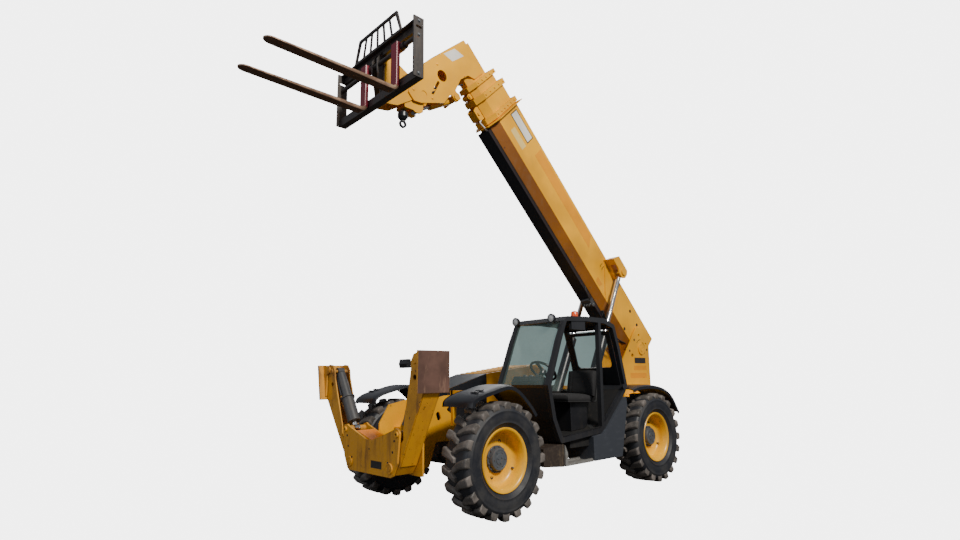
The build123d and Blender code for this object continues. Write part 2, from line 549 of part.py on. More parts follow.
FORK_X = TX + BACK + 110
with BuildPart() as forks:
    for y in FORK_YS:
        low = BAR_LOW - 60
        slab(side_plane(y + FORK_W / 2), [
            (FORK_X, low + 34), (FORK_X + 10, low + 10), (FORK_X + 34, low), (FORK_X + FORK_T + 120, low),
            (FORK_X + FORK_T + FORK_LENGTH, low + 30),
            (FORK_X + FORK_T + FORK_LENGTH, low + 40), (FORK_X + FORK_T + 120, low + FORK_T),
            (FORK_X + FORK_T, low + FORK_T), (FORK_X + FORK_T, TZ + SHAFT_Z + 60), (FORK_X, TZ + SHAFT_Z + 60)], FORK_W)
        # eye round the shaft
        bar(side_plane(y + FORK_W / 2), (TX + SHAFT_X, TZ + SHAFT_Z), 52, FORK_W)
        slab(side_plane(y + FORK_W / 2), [(TX + SHAFT_X, TZ + SHAFT_Z - 50), (FORK_X + 1, TZ + SHAFT_Z - 50),
                                          (FORK_X + 1, TZ + SHAFT_Z + 50), (TX + SHAFT_X, TZ + SHAFT_Z + 50)], FORK_W)
        bar(side_plane(y + FORK_W / 2), (TX + SHAFT_X, TZ + SHAFT_Z), SHAFT_R + PIN_GAP, FORK_W, Mode.SUBTRACT)
save(forks, "forks")

with BuildPart() as hook:
    hx = TX + HOOK[0]
    bar(level_plane(TZ + HOOK[1] - 30), (hx, BOOM_Y), 22, 30)
    with BuildSketch(Plane(origin=(MID_X + hx, BOOM_Y, TZ + HOOK[1] - 80), x_dir=(1, 0, 0), z_dir=(0, -1, 0))):
        Polygon((0, -HOOK_BALL_R), (HOOK_BALL_R * 0.6, -HOOK_BALL_R * 0.92), (HOOK_BALL_R, -HOOK_BALL_R * 0.4),
                (HOOK_BALL_R, HOOK_BALL_R * 0.4), (HOOK_BALL_R * 0.6, HOOK_BALL_R * 0.92), (0, HOOK_BALL_R),
                align=None)
    revolve(axis=Axis((MID_X + hx, BOOM_Y, 0), (0, 0, 1)), revolution_arc=360)
    bar(level_plane(TZ + HOOK[1] - 175), (hx, BOOM_Y), 20, 60)
    with BuildSketch(side_plane(BOOM_Y + 14)) as ring:
        with Locations((hx, TZ + HOOK[1] - 205)):
            Circle(54)
            Circle(30, mode=Mode.SUBTRACT)
    extrude(ring.sketch, amount=28)
save(hook, "load_hook")

# ---------------------------------------------------------------- rams in the side view
# ram: base point, pin point, middle y, barrel radius, rod radius, barrel length, eye radius, eye width


def ram_barrel(base, pin, y, r, length, eye_r, eye_w, pin_r):
    """Adds a ram's barrel with its base eye; the rod's bore is left open at the far end."""
    (x0, z0), (x1, z1) = base, pin
    along = Vector(x1 - x0, 0, z1 - z0).normalized()
    start = Vector(MID_X + x0, y, z0)
    with BuildSketch(Plane(origin=start, z_dir=along)) as neck:
        Circle(eye_w * 0.48)
    extrude(neck.sketch, amount=2 * eye_r)
    with BuildSketch(Plane(origin=start + along * 1.8 * eye_r, z_dir=along)) as tube:
        Circle(r)
    extrude(tube.sketch, amount=length - 1.8 * eye_r)
    bar(side_plane(y + eye_w / 2), base, eye_r, eye_w)
    bar(side_plane(y + eye_w / 2 + 4.5), base, pin_r, eye_w + 9)


def ram_bore(base, pin, y, rod_r, length, depth, gap=1.0):
    """Cuts the bore that the rod slides in."""
    (x0, z0), (x1, z1) = base, pin
    along = Vector(x1 - x0, 0, z1 - z0).normalized()
    start = Vector(MID_X + x0, y, z0)
    with BuildSketch(Plane(origin=start + along * (length - depth), z_dir=along)) as hole:
        Circle(rod_r + gap)
    extrude(hole.sketch, amount=depth + 10, mode=Mode.SUBTRACT)


def ram_rod(base, pin, y, rod_r, inside, eye_r, eye_w, pin_r, pin_extra=5):
    """Adds a ram's rod, from a point inside the barrel to its eye, with the pin it carries."""
    (x0, z0), (x1, z1) = base, pin
    along = Vector(x1 - x0, 0, z1 - z0).normalized()
    reach = hypot(x1 - x0, z1 - z0)
    start = Vector(MID_X + x0, y, z0)
    with BuildSketch(Plane(origin=start + along * inside, z_dir=along)) as shank:
        Circle(rod_r)
    extrude(shank.sketch, amount=reach - inside - eye_r * 0.5)
    bar(side_plane(y + eye_w / 2), pin, eye_r, eye_w)
    bar(side_plane(y + eye_w / 2 + pin_extra), pin, pin_r, eye_w + 2 * pin_extra)


LIFT_PIN = boom_point(LIFT_U, LIFT_V)
LIFT_BARREL = 1800
LIFT_BARREL_R = 80
LIFT_TAIL = 1182              # where the rod's tail stands in the barrel at rest
LIFT_ROD_R = 42
with BuildPart() as lift_barrels:
    for y in (BOOM_Y + LIFT_Y, BOOM_Y - LIFT_Y):
        ram_barrel(LIFT_BASE, LIFT_PIN, y, LIFT_BARREL_R, LIFT_BARREL, 55, 80, 32)
        ram_bore(LIFT_BASE, LIFT_PIN, y, LIFT_ROD_R, LIFT_BARREL, LIFT_BARREL - 108)
save(lift_barrels, "lift_barrels")
with BuildPart() as lift_rods:
    for y in (BOOM_Y + LIFT_Y, BOOM_Y - LIFT_Y):
        ram_rod(LIFT_BASE, LIFT_PIN, y, LIFT_ROD_R, LIFT_TAIL, LIFT_EYE_R, LIFT_EYE, LIFT_PIN_R)
save(lift_rods, "lift_rods")

# tilt ram under the nose
LUG_PIN = (TX + LUG[0], TZ + LUG[1])
TILT_FOOT = boom_point(*TILT_BASE)
with BuildPart() as tilt_barrel:
    ram_barrel(TILT_FOOT, LUG_PIN, BOOM_Y, 55, 470, 52, 70, 25)
    ram_bore(TILT_FOOT, LUG_PIN, BOOM_Y, 28, 470, 410)
save(tilt_barrel, "tilt_barrel")
with BuildPart() as tilt_rod:
    ram_rod(TILT_FOOT, LUG_PIN, BOOM_Y, 28, 260, 48, 60, 22)
save(tilt_rod, "tilt_rod")

# ---------------------------------------------------------------- front stabilisers
LEG_X0, LEG_X1 = STAB_REAR + STAB_PLATE + 6, STAB_FRONT - STAB_PLATE - 6
LEG_CHEEK = 16
RAM_X = (LEG_X0 + LEG_X1) / 2
FRONT_OUTLINE = [             # place from the stabilisers' middle, height: left half, mirrored
    (0, 858), (60, 858), (470, 990), (515, 1014), (570, 1005), (596, 965), (560, 650), (480, 510), (440, 490),
]
REAR_OUTLINE = [
    (0, 858), (60, 858), (470, 990), (515, 1014), (570, 1005), (596, 965), (650, 830), (650, 490),
]


def both_sides(half):
    """A left-right symmetrical outline from its left half, about the stabilisers' middle."""
    return [(STAB_Y + y, z) for y, z in half] + [(STAB_Y - y, z) for y, z in reversed(half) if y]


with BuildPart() as stab_frame:
    slab(cross_plane(STAB_FRONT - STAB_PLATE), both_sides(FRONT_OUTLINE), STAB_PLATE, r=12)
    slab(cross_plane(STAB_REAR), both_sides(REAR_OUTLINE), STAB_PLATE, r=12)
    # floor and V-shaped cover between the plates
    depth = STAB_FRONT - STAB_REAR - 2 * STAB_PLATE
    slab(cross_plane(STAB_REAR + STAB_PLATE), [(STAB_Y - 290, 490), (STAB_Y + 290, 490), (STAB_Y + 290, 515),
                                               (STAB_Y - 290, 515)], depth)
    for side in (1, -1):
        slab(cross_plane(STAB_REAR + STAB_PLATE), [(STAB_Y, 838), (STAB_Y + side * 330, 925),
                                                   (STAB_Y + side * 330, 945), (STAB_Y, 856)], depth)
        slab(cross_plane(STAB_REAR + STAB_PLATE), [(STAB_Y + side * 250, 515), (STAB_Y + side * 270, 515),
                                                   (STAB_Y + side * 270, 900), (STAB_Y + side * 250, 900)], depth)
        pivot = (STAB_Y + side * LEG_PIVOT[0], LEG_PIVOT[1])
        ram_base = (STAB_Y + side * RAM_BASE[0], RAM_BASE[1])
        bar(cross_plane(STAB_FRONT), pivot, 58, 12)
        bar(cross_plane(STAB_FRONT), ram_base, 34, 12)
        # bosses on either side of each ram's eye
        for x0 in (STAB_REAR + STAB_PLATE, RAM_X + 41):
            bar(cross_plane(x0), ram_base, 38, RAM_X - 41 - STAB_REAR - STAB_PLATE)
        # leg pivot pins between the plates
        bar(cross_plane(STAB_REAR), pivot, 35, STAB_FRONT - STAB_REAR)
save(stab_frame, "stabiliser_frame")

LEG_OUTLINE = [(345, 560), (400, 505), (480, 510), (560, 600), (1030, 1330), (1068, 1640), (1048, 1745), (985, 1785),
               (900, 1770), (850, 1700), (840, 1600), (660, 1000), (655, 880), (370, 650)]
LEG_WEB = [(480, 510), (560, 600), (1030, 1330), (1068, 1640), (1048, 1640), (1010, 1337), (544, 612), (470, 530)]
LEG_HOLE = (905, 1520)


def posed(points, side, raised):
    """Places drawn for a left leg in the middle pose, put on a side with the leg raised by degrees."""
    turn = radians(raised)
    out = []
    for y, z in points:
        dy, dz = y - LEG_PIVOT[0], z - LEG_PIVOT[1]
        out.append((STAB_Y + side * (LEG_PIVOT[0] + dy * cos(turn) - dz * sin(turn)),
                    LEG_PIVOT[1] + dz * cos(turn) + dy * sin(turn)))
    return out


for name, side in (("left", 1), ("right", -1)):
    raised = LEG_RAISED[name]
    outline, web = posed(LEG_OUTLINE, side, raised), posed(LEG_WEB, side, raised)
    pivot, ram_top, foot_pin, hole_place = posed((LEG_PIVOT, RAM_TOP, FOOT_PIN, LEG_HOLE), side, raised)
    with BuildPart() as leg:
        slab(cross_plane(LEG_X0), outline, LEG_CHEEK, r=14)
        slab(cross_plane(LEG_X1 - LEG_CHEEK), outline, LEG_CHEEK, r=14)
        slab(cross_plane(LEG_X0), web, LEG_X1 - LEG_X0)
        bar(cross_plane(LEG_X0), pivot, 70, LEG_X1 - LEG_X0)
        bar(cross_plane(LEG_X0), pivot, 35 + PIN_GAP, LEG_X1 - LEG_X0, Mode.SUBTRACT)
        bar(cross_plane(LEG_X0), hole_place, 30, LEG_X1 - LEG_X0, Mode.SUBTRACT)
        # ram pin and foot pin
        bar(cross_plane(LEG_X0), ram_top, 24, LEG_X1 - LEG_X0)
        for x0 in (LEG_X0 - 30, LEG_X1 - LEG_CHEEK):
            bar(cross_plane(x0), foot_pin, 25, 30 + LEG_CHEEK)
    save(leg, f"stabiliser_leg_{name}")

    with BuildPart() as foot:
        fy, fz = FOOT_PIN
        ears = posed([(fy - 45, fz + 15), (fy - 10, fz + 50), (fy + 112, fz + 66), (fy + 70, fz - 330), (fy + 45, fz - 330),
                      (fy + 20, fz - 60), (fy - 30, fz - 40)], side, raised)
        for x0 in (LEG_X0 - 26, LEG_X1 + 6):
            slab(cross_plane(x0), ears, 20)
            bar(cross_plane(x0), foot_pin, 50, 20)
            bar(cross_plane(x0), foot_pin, 25 + PIN_GAP, 20, Mode.SUBTRACT)
        slab(cross_plane(RAM_X - FOOT_LENGTH / 2),
             posed([(fy + 112, fz + 70), (fy + 136, fz + 67), (fy + 85, fz - 377), (fy + 61, fz - 374)], side, raised),
             FOOT_LENGTH)
    save(foot, f"stabiliser_foot_{name}")

    ram_base = (STAB_Y + side * RAM_BASE[0], RAM_BASE[1])
    top = Vector(MID_X + RAM_X, *ram_top)
    run = Vector(MID_X + RAM_X, *ram_base) - top
    down = run.normalized()
    reach = run.length
    with BuildPart() as stab_barrel:
        with BuildSketch(Plane(origin=top + down * 45, z_dir=down)) as upper:
            Circle(62)
        extrude(upper.sketch, amount=350)
        with BuildSketch(Plane(origin=top + down * 395, z_dir=down)) as flange:
            Circle(92)
        extrude(flange.sketch, amount=18)
        with BuildSketch(Plane(origin=top + down * 413, z_dir=down)) as lower:
            Circle(78)
        extrude(lower.sketch, amount=reach - 413 - 90)
        bar(cross_plane(RAM_X - 45), ram_top, 46, 90)
        bar(cross_plane(RAM_X - 45), ram_top, 24 + PIN_GAP, 90, Mode.SUBTRACT)
        with BuildSketch(Plane(origin=top + down * 200, z_dir=down)) as hole:
            Circle(36)
        extrude(hole.sketch, amount=reach, mode=Mode.SUBTRACT)
    save(stab_barrel, f"stabiliser_barrel_{name}")
    with BuildPart() as stab_rod:
        with BuildSketch(Plane(origin=top + down * 260, z_dir=down)) as shank:
            Circle(35)
        extrude(shank.sketch, amount=reach - 260 - 20)
        bar(cross_plane(RAM_X - 35), ram_base, 46, 70)
        bar(cross_plane(RAM_X - 40), ram_base, 22, 80)
    save(stab_rod, f"stabiliser_rod_{name}")

# ---------------------------------------------------------------- cab
CAB_OUTLINE = [(316, 2335), (-103, 2353), (-528, 2353), (-771, 2272), (-887, 1913), (-1013, 1409), (-949, 1311),
               (-407, 844), (-308, 785), (548, 722), (685, 1015), (765, 1443), (525, 2010), (392, 2270)]
CAB_OPENING = [(330, 2268), (-103, 2290), (-520, 2280), (-718, 2222), (-826, 1898), (-945, 1418), (-905, 1350),
               (-375, 895), (-300, 850), (505, 790), (620, 1025), (700, 1430), (465, 1985), (350, 2230)]
REAR_LOW, REAR_TOP = (-955, 1424), (-733, 2190)   # inside of the rear window
with BuildSketch() as cab_opening:
    Polygon(*CAB_OPENING, align=None)
    fillet(cab_opening.vertices(), 25)
with BuildPart() as cab_frame:
    for y in (CAB_LEFT, CAB_RIGHT + CAB_TUBE):
        with BuildSketch(side_plane(y)) as ring:
            Polygon(*CAB_OUTLINE, align=None)
            fillet(ring.vertices(), 40)
            add(cab_opening.sketch, mode=Mode.SUBTRACT)
            if y == CAB_LEFT:
                Polygon((-375, 2300), (-435, 2300), (-395, 850), (-335, 850), align=None)
        extrude(ring.sketch, amount=CAB_TUBE)
    inside = CAB_LEFT - CAB_RIGHT - 2 * CAB_TUBE
    left = CAB_LEFT - CAB_TUBE
    # sun visor box at the top of the doorway and the door's catch
    slab(side_plane(CAB_LEFT - 15), [(-86, 2165), (214, 2165), (214, 2278), (-86, 2292)], 42)
    bar(side_plane(CAB_LEFT + 18), (-905, 1390), 34, 18)
    # rear wall: a panel with a round-cornered window
    along = Vector(REAR_TOP[0] - REAR_LOW[0], 0, REAR_TOP[1] - REAR_LOW[1])
    wall = Plane(origin=(MID_X + REAR_LOW[0], CAB_RIGHT + CAB_TUBE + inside / 2, REAR_LOW[1]), x_dir=(0, 1, 0),
                 z_dir=Vector(0, 1, 0).cross(along))
    with BuildSketch(wall) as panel:
        with Locations((0, along.length / 2)):
            Rectangle(inside, along.length)
        with Locations((0, 0.63 * along.length)):
            RectangleRounded(inside - 150, 0.62 * along.length, 60, mode=Mode.SUBTRACT)
    extrude(panel.sketch, amount=22)
    for points in ([(392, 2270), (316, 2335), (250, 2335), (340, 2262)],
                   [(-771, 2272), (-700, 2298), (-700, 2240), (-740, 2210)],
                   [(-1013, 1409), (-949, 1311), (-905, 1350), (-945, 1418)],
                   [(765, 1443), (758, 1405), (700, 1405), (706, 1430)]):
        slab(side_plane(left), points, inside)
save(cab_frame, "cab_frame")

with BuildPart() as cab_roof:
    slab(side_plane(CAB_LEFT - CAB_TUBE), [(250, 2335), (-103, 2353), (-528, 2353), (-700, 2298), (-700, 2268), (-528, 2318),
                                (-103, 2328), (250, 2305)], CAB_LEFT - CAB_RIGHT - 2 * CAB_TUBE)
save(cab_roof, "cab_roof")

with BuildPart() as cab_floor:
    left, inside = CAB_LEFT - CAB_TUBE, CAB_LEFT - CAB_RIGHT - 2 * CAB_TUBE
    slab(side_plane(left), [(-940, 1318), (-407, 846), (-300, 790), (545, 730), (685, 1015), (757, 1404),
                            (715, 1404), (650, 1025), (545, 772), (-300, 830), (-400, 880), (-905, 1349)], inside)
    # closed lower panel of the right wall
    slab(side_plane(CAB_RIGHT + 45), [(-881, 1330), (-375, 895), (-300, 850), (505, 790), (620, 1025), (680, 1330)],
         30, r=30)
save(cab_floor, "cab_floor")

GLASS = 6
with BuildPart() as glass:
    left, inside = CAB_LEFT - CAB_TUBE, CAB_LEFT - CAB_RIGHT - 2 * CAB_TUBE
    slab(side_plane(left), [(742, 1444), (736, 1440), (368, 2258), (374, 2262)], inside)
    slab(side_plane(CAB_RIGHT + 34), [(680, 1334), (-886, 1334), (-905, 1350), (-945, 1418), (-826, 1898), (-718, 2222), (-520, 2280),
                                      (-103, 2290), (330, 2268), (350, 2230), (465, 1985), (700, 1430)], GLASS, r=30)
    slab(side_plane(left), [(-968, 1424), (-962, 1424), (-735, 2206), (-741, 2206)], inside)
save(glass, "cab_glass")

# seat, console and steering column
SEAT_Y = (CAB_LEFT + CAB_RIGHT) / 2
with BuildPart() as seat:
    slab(side_plane(SEAT_Y + 250), [(-480, 1180), (120, 1202.2), (145, 1255), (120, 1300), (-390, 1285), (-490, 1630),
                                 (-540, 1650), (-590, 1620)], 500)
    fillet(seat.edges().filter_by(Axis.Y), 24)
    slab(side_plane(SEAT_Y + 170), [(-380, 870.2), (-300, 830.2), (-20, 811), (-20, 1197), (-440, 1181.5)], 340)
save(seat, "seat")

COLUMN = ((500, 1420), (325, 1621))    # foot and top of the steering column
WHEEL_R = 195
with BuildPart() as controls:
    # armrest box beside the seat, on the floor
    slab(side_plane(410), [(-260, 828), (300, 789.5), (300, 1270), (270, 1300), (-260, 1290)], 90, r=12)
    slab(side_plane(SEAT_Y + 250), [(580, 1010), (643.5, 1010), (649.5, 1026), (703.9, 1345), (690, 1490), (630, 1555),
                                 (500, 1500), (440, 1370), (520, 1300)], 500, r=8)
    (x0, z0), (x1, z1) = COLUMN
    strut((x0, z0), (x1, z1), 28, SEAT_Y)
    tilt = Vector(x1 - x0, 0, z1 - z0).normalized()
    wheel_plane = Plane(origin=Vector(MID_X + x1, SEAT_Y, z1) - tilt * 12, z_dir=tilt)
    with BuildSketch(wheel_plane) as steering:
        Circle(WHEEL_R)
        Circle(WHEEL_R - 25, mode=Mode.SUBTRACT)
        Rectangle(2 * WHEEL_R - 20, 34)
        Circle(45)
    extrude(steering.sketch, amount=24)
save(controls, "cab_controls")

# side boxes below the cab: step, battery box and the moulded tank cladding
with BuildPart() as side_boxes:
    slab(side_plane(1100), [(474, 434), (868, 470), (868, 690), (474, 716)], 560, r=18)
save(side_boxes, "battery_box")
with BuildPart() as step:
    # toothed tread, with a hanger plate up to the battery box
    teeth = []
    for k in range(17):
        teeth += [(-100 + 33.6 * k, 470), (-83 + 33.6 * k, 485)]
    for y in (1120, 905):
        slab(side_plane(y), [(-100, 440), (474, 440), (474, 470)] + teeth[::-1], 20)
    slab(side_plane(1100), [(-100, 445), (474, 445), (474, 455), (-100, 455)], 195)
    for y in (1120, 905):
        slab(side_plane(y), [(424, 470), (474, 470), (474, 700), (424, 600)], 20)
save(step, "cab_step")
with BuildPart() as tank:
    slab(side_plane(1140), [(-100, 445), (-758, 445), (-948, 1141), (-940, 1225), (-905, 1247), (-870, 1239),
                            (-520, 938), (-420, 850), (-312, 778), (-100, 762)], 520, r=16)
save(tank, "tank_cladding")

# fenders
FENDER = 6
FENDER_OUT = WHEEL_Y + TYRE_W / 2 - 25
FENDERS = {                   # outer edge seen from the left, heights above the tyre's top, and its arm's place
    "front": ([(2228, -20), (2205, 70), (2100, 120), (1870, 165), (1500, 195), (1330, 130), (1150, -30),
               (1040, -155)], 1500),
    "rear": ([(-1035, 80), (-1250, 120), (-1590, 125), (-1900, 80), (-2150, -50), (-2350, -305)], -1600),
}
with BuildPart() as fenders:
    for edge, arm in FENDERS.values():
        points = [(x, 2 * TYRE_R + z) for x, z in edge]
        back = [(x, z - 14) for x, z in reversed(points)]
        lip = [(x, z - 40) for x, z in reversed(points)]
        for y in (FENDER_OUT, 500 - FENDER_OUT):
            slab(side_plane(y), points + back, 500)
        for y in (FENDER_OUT, FENDER - FENDER_OUT):
            slab(side_plane(y), points + lip, FENDER)
        # posts on the deck, arms out to the fenders and a bracket under each
        under = 2 * TYRE_R + 118
        reach = FENDER_OUT - 460
        for y0, y1 in ((BOOM_Y + RAIL_Y - 40, reach), (-reach, BOOM_Y - RAIL_Y + 40)):
            slab(side_plane(y1), [(arm - 30, under - 68), (arm + 30, under - 68), (arm + 30, under),
                                  (arm - 30, under)], y1 - y0)
        for y in (BOOM_Y + RAIL_Y, BOOM_Y - RAIL_Y + 40):
            slab(side_plane(y), [(arm - 30, RAIL_TOP), (arm + 30, RAIL_TOP), (arm + 30, under), (arm - 30, under)], 40)
        rise = max(z for x, z in edge) - 125
        for y in (reach, 40 - reach):
            slab(side_plane(y), [(arm - 30, under - 68), (arm + 30, under - 68), (arm + 20, under + rise),
                                 (arm - 20, under + rise)], 40)
save(fenders, "fenders")

# engine pod on the right
with BuildPart() as engine_pod:
    slab(side_plane(ENGINE_Y), [(-870, 620), (860, 620), (860, 760), (915, 900), (1040, 1110), (1040, 1180),
                                (-1000, 1180), (-1000, 1060), (-920, 900), (-870, 760)], ENGINE_W)
save(engine_pod, "engine_block")
HOOD = [(-1000, 1180), (1040, 1180), (1075, 1230), (1050, 1395), (309, 1600), (-835, 1745), (-1000, 1700)]
HOOD_INSIDE = [(-985, 1179), (1025, 1179), (1058, 1232), (1036, 1384), (306, 1586), (-833, 1730), (-985, 1690)]
HOOD_SLOPE = (1600 - 1745) / (309 + 835)
with BuildPart() as hood:
    slab(side_plane(ENGINE_Y + 5), HOOD, ENGINE_W + 10, r=12)
    slab(side_plane(ENGINE_Y - 7), HOOD_INSIDE, ENGINE_W - 14, Mode.SUBTRACT)
    # pressed ribs across the top, and the cooling slots of the right side
    for k in range(9):
        x = 250 - 115 * k
        top = 1600 + (x - 309) * HOOD_SLOPE
        slab(side_plane(ENGINE_Y - 60), [(x, top - 6), (x + 55, top - 6 + 55 * HOOD_SLOPE),
                                         (x + 45, top + 14 + 45 * HOOD_SLOPE), (x + 10, top + 14)], ENGINE_W - 120)
    for k in range(12):
        x = -820 + 90 * k
        slab(side_plane(ENGINE_Y - ENGINE_W + 20), [(x, 1260), (x + 34, 1260), (x + 34, 1440), (x, 1440)], 60,
             Mode.SUBTRACT)
save(hood, "engine_hood")

# lamps, beacon and mirror
LAMP_YS = (305, 956)
with BuildPart() as lamps:
    for y in LAMP_YS:
        bar(cross_plane(404), (y, 2312), 60, 60)
        slab(side_plane(y + 12), [(392.1, 2270.1), (408, 2270.1), (408, 2335), (316.3, 2335)], 24)
save(lamps, "roof_lamps")
BEACON = (-400, 690)
with BuildPart() as beacon:
    bar(level_plane(2353), BEACON, 60, 26)
    bar(level_plane(2379), BEACON, 54, 112)
    fillet(beacon.faces().sort_by(Axis.Z)[-1].edges(), 24)
save(beacon, "beacon")
with BuildPart() as mirrors:
    # bent arm from the hood to the mirror's back
    slab(side_plane(-740), [(958, 1420.5), (982, 1413.9), (982, 1776), (958, 1776)], 24)
    slab(level_plane(1752), [(958, -764), (982, -740), (1345, -1010), (1345, -1036)], 24)
    slab(side_plane(-1005), [(1320, 1700), (1385, 1700), (1402, 1760), (1385, 1830), (1320, 1830)], 190, r=14)
save(mirrors, "mirror")
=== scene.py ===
# %% [markdown]
# # A telehandler in paint, rubber and glass
#
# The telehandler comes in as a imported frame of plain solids: chassis, boom, cab,
# wheels and stabilisers, each where it stands in metres.  This lesson dresses it.
# Each cell first says what the real piece is like and then makes it, either as a
# finish on a solid that is already there or as a new surface worked out with numpy.

# %% Load the frame
from math import cos, pi, radians, sin, sqrt

import bmesh
import bpy
import numpy as np
from mathutils import Matrix, Vector


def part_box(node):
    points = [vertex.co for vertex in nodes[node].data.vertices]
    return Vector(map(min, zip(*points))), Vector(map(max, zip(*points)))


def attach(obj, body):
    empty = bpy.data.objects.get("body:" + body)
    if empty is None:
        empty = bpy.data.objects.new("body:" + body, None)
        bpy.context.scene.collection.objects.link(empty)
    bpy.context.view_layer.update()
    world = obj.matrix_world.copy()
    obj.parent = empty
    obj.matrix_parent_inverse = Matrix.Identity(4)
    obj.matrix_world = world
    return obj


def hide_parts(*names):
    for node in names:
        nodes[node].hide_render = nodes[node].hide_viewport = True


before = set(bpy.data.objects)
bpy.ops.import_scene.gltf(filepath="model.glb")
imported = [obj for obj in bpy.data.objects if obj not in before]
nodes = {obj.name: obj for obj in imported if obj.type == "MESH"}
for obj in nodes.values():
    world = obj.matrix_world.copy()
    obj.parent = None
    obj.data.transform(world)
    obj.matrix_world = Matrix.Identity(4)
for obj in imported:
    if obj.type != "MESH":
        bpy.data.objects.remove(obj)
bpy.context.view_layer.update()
TURN = 2 * pi

# %% [markdown]
# ## The camera
#
# The machine is seen from its left front corner, from about eye height and close up,
# with a wide lens looking slightly upwards.  The camera is placed by its position and
# three turns, so the view can be checked number by number.

# %% Place the camera
CAMERA_PLACE = Vector((5.8210, 5.749, 1.541))
YAW, PITCH, ROLL = radians(-133.07), radians(10.94), radians(-0.85)
LENS = 20.94


def camera_axes(yaw, pitch, roll):
    """Rows right, up and back: the view direction is (cos p cos y, cos p sin y, sin p)."""
    ahead = Vector((cos(pitch) * cos(yaw), cos(pitch) * sin(yaw), sin(pitch)))
    level = Vector((sin(yaw), -cos(yaw), 0))
    above = level.cross(ahead)
    right = level * cos(roll) + above * sin(roll)
    up = above * cos(roll) - level * sin(roll)
    return right, up, -ahead


camera_data = bpy.data.cameras.new("camera")
camera_data.lens = LENS
camera_data.sensor_width = 36
camera = bpy.data.objects.new("camera", camera_data)
right, up, back = camera_axes(YAW, PITCH, ROLL)
camera.matrix_world = Matrix(
    [[right[i], up[i], back[i], CAMERA_PLACE[i]] for i in range(3)] + [[0, 0, 0, 1]])
bpy.context.scene.collection.objects.link(camera)
bpy.context.scene.camera = camera

# %% [markdown]
# ## Daylight and a white room
#
# A high sun stands on the machine's left, so the boom's flank is bright and everything
# that faces down is deep brown.  A weak light from the front opens the shadows.  The
# world is plain white to the camera, and dimmer to the surfaces that it lights.  Seen
# through a pane it is grey-green, which stands for the wall behind a real cab.

# %% Lights and world
def area_light(name, place, target, size, power, colour):
    """A square soft light that looks from one point to another."""
    data = bpy.data.lights.new(name, "AREA")
    data.size = size
    data.energy = power
    data.color = colour
    light = bpy.data.objects.new(name, data)
    direction = Vector(target) - Vector(place)
    light.matrix_world = Matrix.Translation(place) @ direction.to_track_quat("-Z", "Y").to_matrix().to_4x4()
    bpy.context.scene.collection.objects.link(light)


area_light("sun", (2.5, 15, 14), (0, 0, 2.2), 2.2, 4300, (1.0, 0.95, 0.86))
area_light("front", (14, 2, 5), (0, 0, 2.4), 8, 330, (0.92, 0.96, 1.0))
area_light("rear", (-10, -8, 9), (0, 0, 3), 7, 300, (1.0, 0.98, 0.95))


def white_room():
    """A world that is white to the camera, a dim sky to the surfaces and grey-green through glass."""
    world = bpy.data.worlds.new("white_room")
    bpy.context.scene.world = world
    world.use_nodes = True
    tree = world.node_tree
    ray = tree.nodes.new("ShaderNodeLightPath").outputs
    seen, through = [tree.nodes.new("ShaderNodeMix") for _ in range(2)]
    for node, first, second, socket in (
            (through, (5.0, 5.0, 5.0, 1), (0.27, 0.37, 0.36, 1), ray["Transparent Depth"]),
            (seen, (0.26, 0.27, 0.29, 1), None, ray["Is Camera Ray"])):
        node.data_type = "RGBA"
        node.inputs[6].default_value = first
        if second:
            node.inputs[7].default_value = second
        tree.links.new(socket, node.inputs[0])
    tree.links.new(through.outputs[2], seen.inputs[7])
    tree.links.new(seen.outputs[2], tree.nodes["Background"].inputs["Color"])


white_room()

# %% [markdown]
# ## Writing a finish as arithmetic
#
# A material is a network of nodes, but most of it is arithmetic: a mask times a
# noise plus a height.  The Field class wraps one output so that +, - and * add
# the Math nodes, and Finish holds the material and makes every other node.

# %% Fields and finishes
def operator(operation, reflected=False):
    """A method that adds one Math node, in which a reflected operator puts this field second."""
    def method(field, other):
        first, second = (other, field) if reflected else (field, other)
        return field.finish.make("ShaderNodeMath", {"operation": operation}, first, second)
    return method


class Field:
    """One number, vector or colour in a material, which Python's operators act on."""

    def __init__(self, finish, socket):
        self.finish, self.socket = finish, socket

    __add__, __radd__ = operator("ADD"), operator("ADD", True)
    __sub__, __rsub__ = operator("SUBTRACT"), operator("SUBTRACT", True)
    __mul__, __rmul__ = operator("MULTIPLY"), operator("MULTIPLY", True)
    least = operator("MINIMUM")

    def part(self, name):
        return Field(self.finish, self.socket.node.outputs[name])

    def ease(self, low, high, start=0.0, end=1.0):
        """Runs smoothly from start to end as this goes from low to high."""
        return self.finish.make("ShaderNodeMapRange", {"interpolation_type": "SMOOTHSTEP"},
                                self, low, high, start, end)


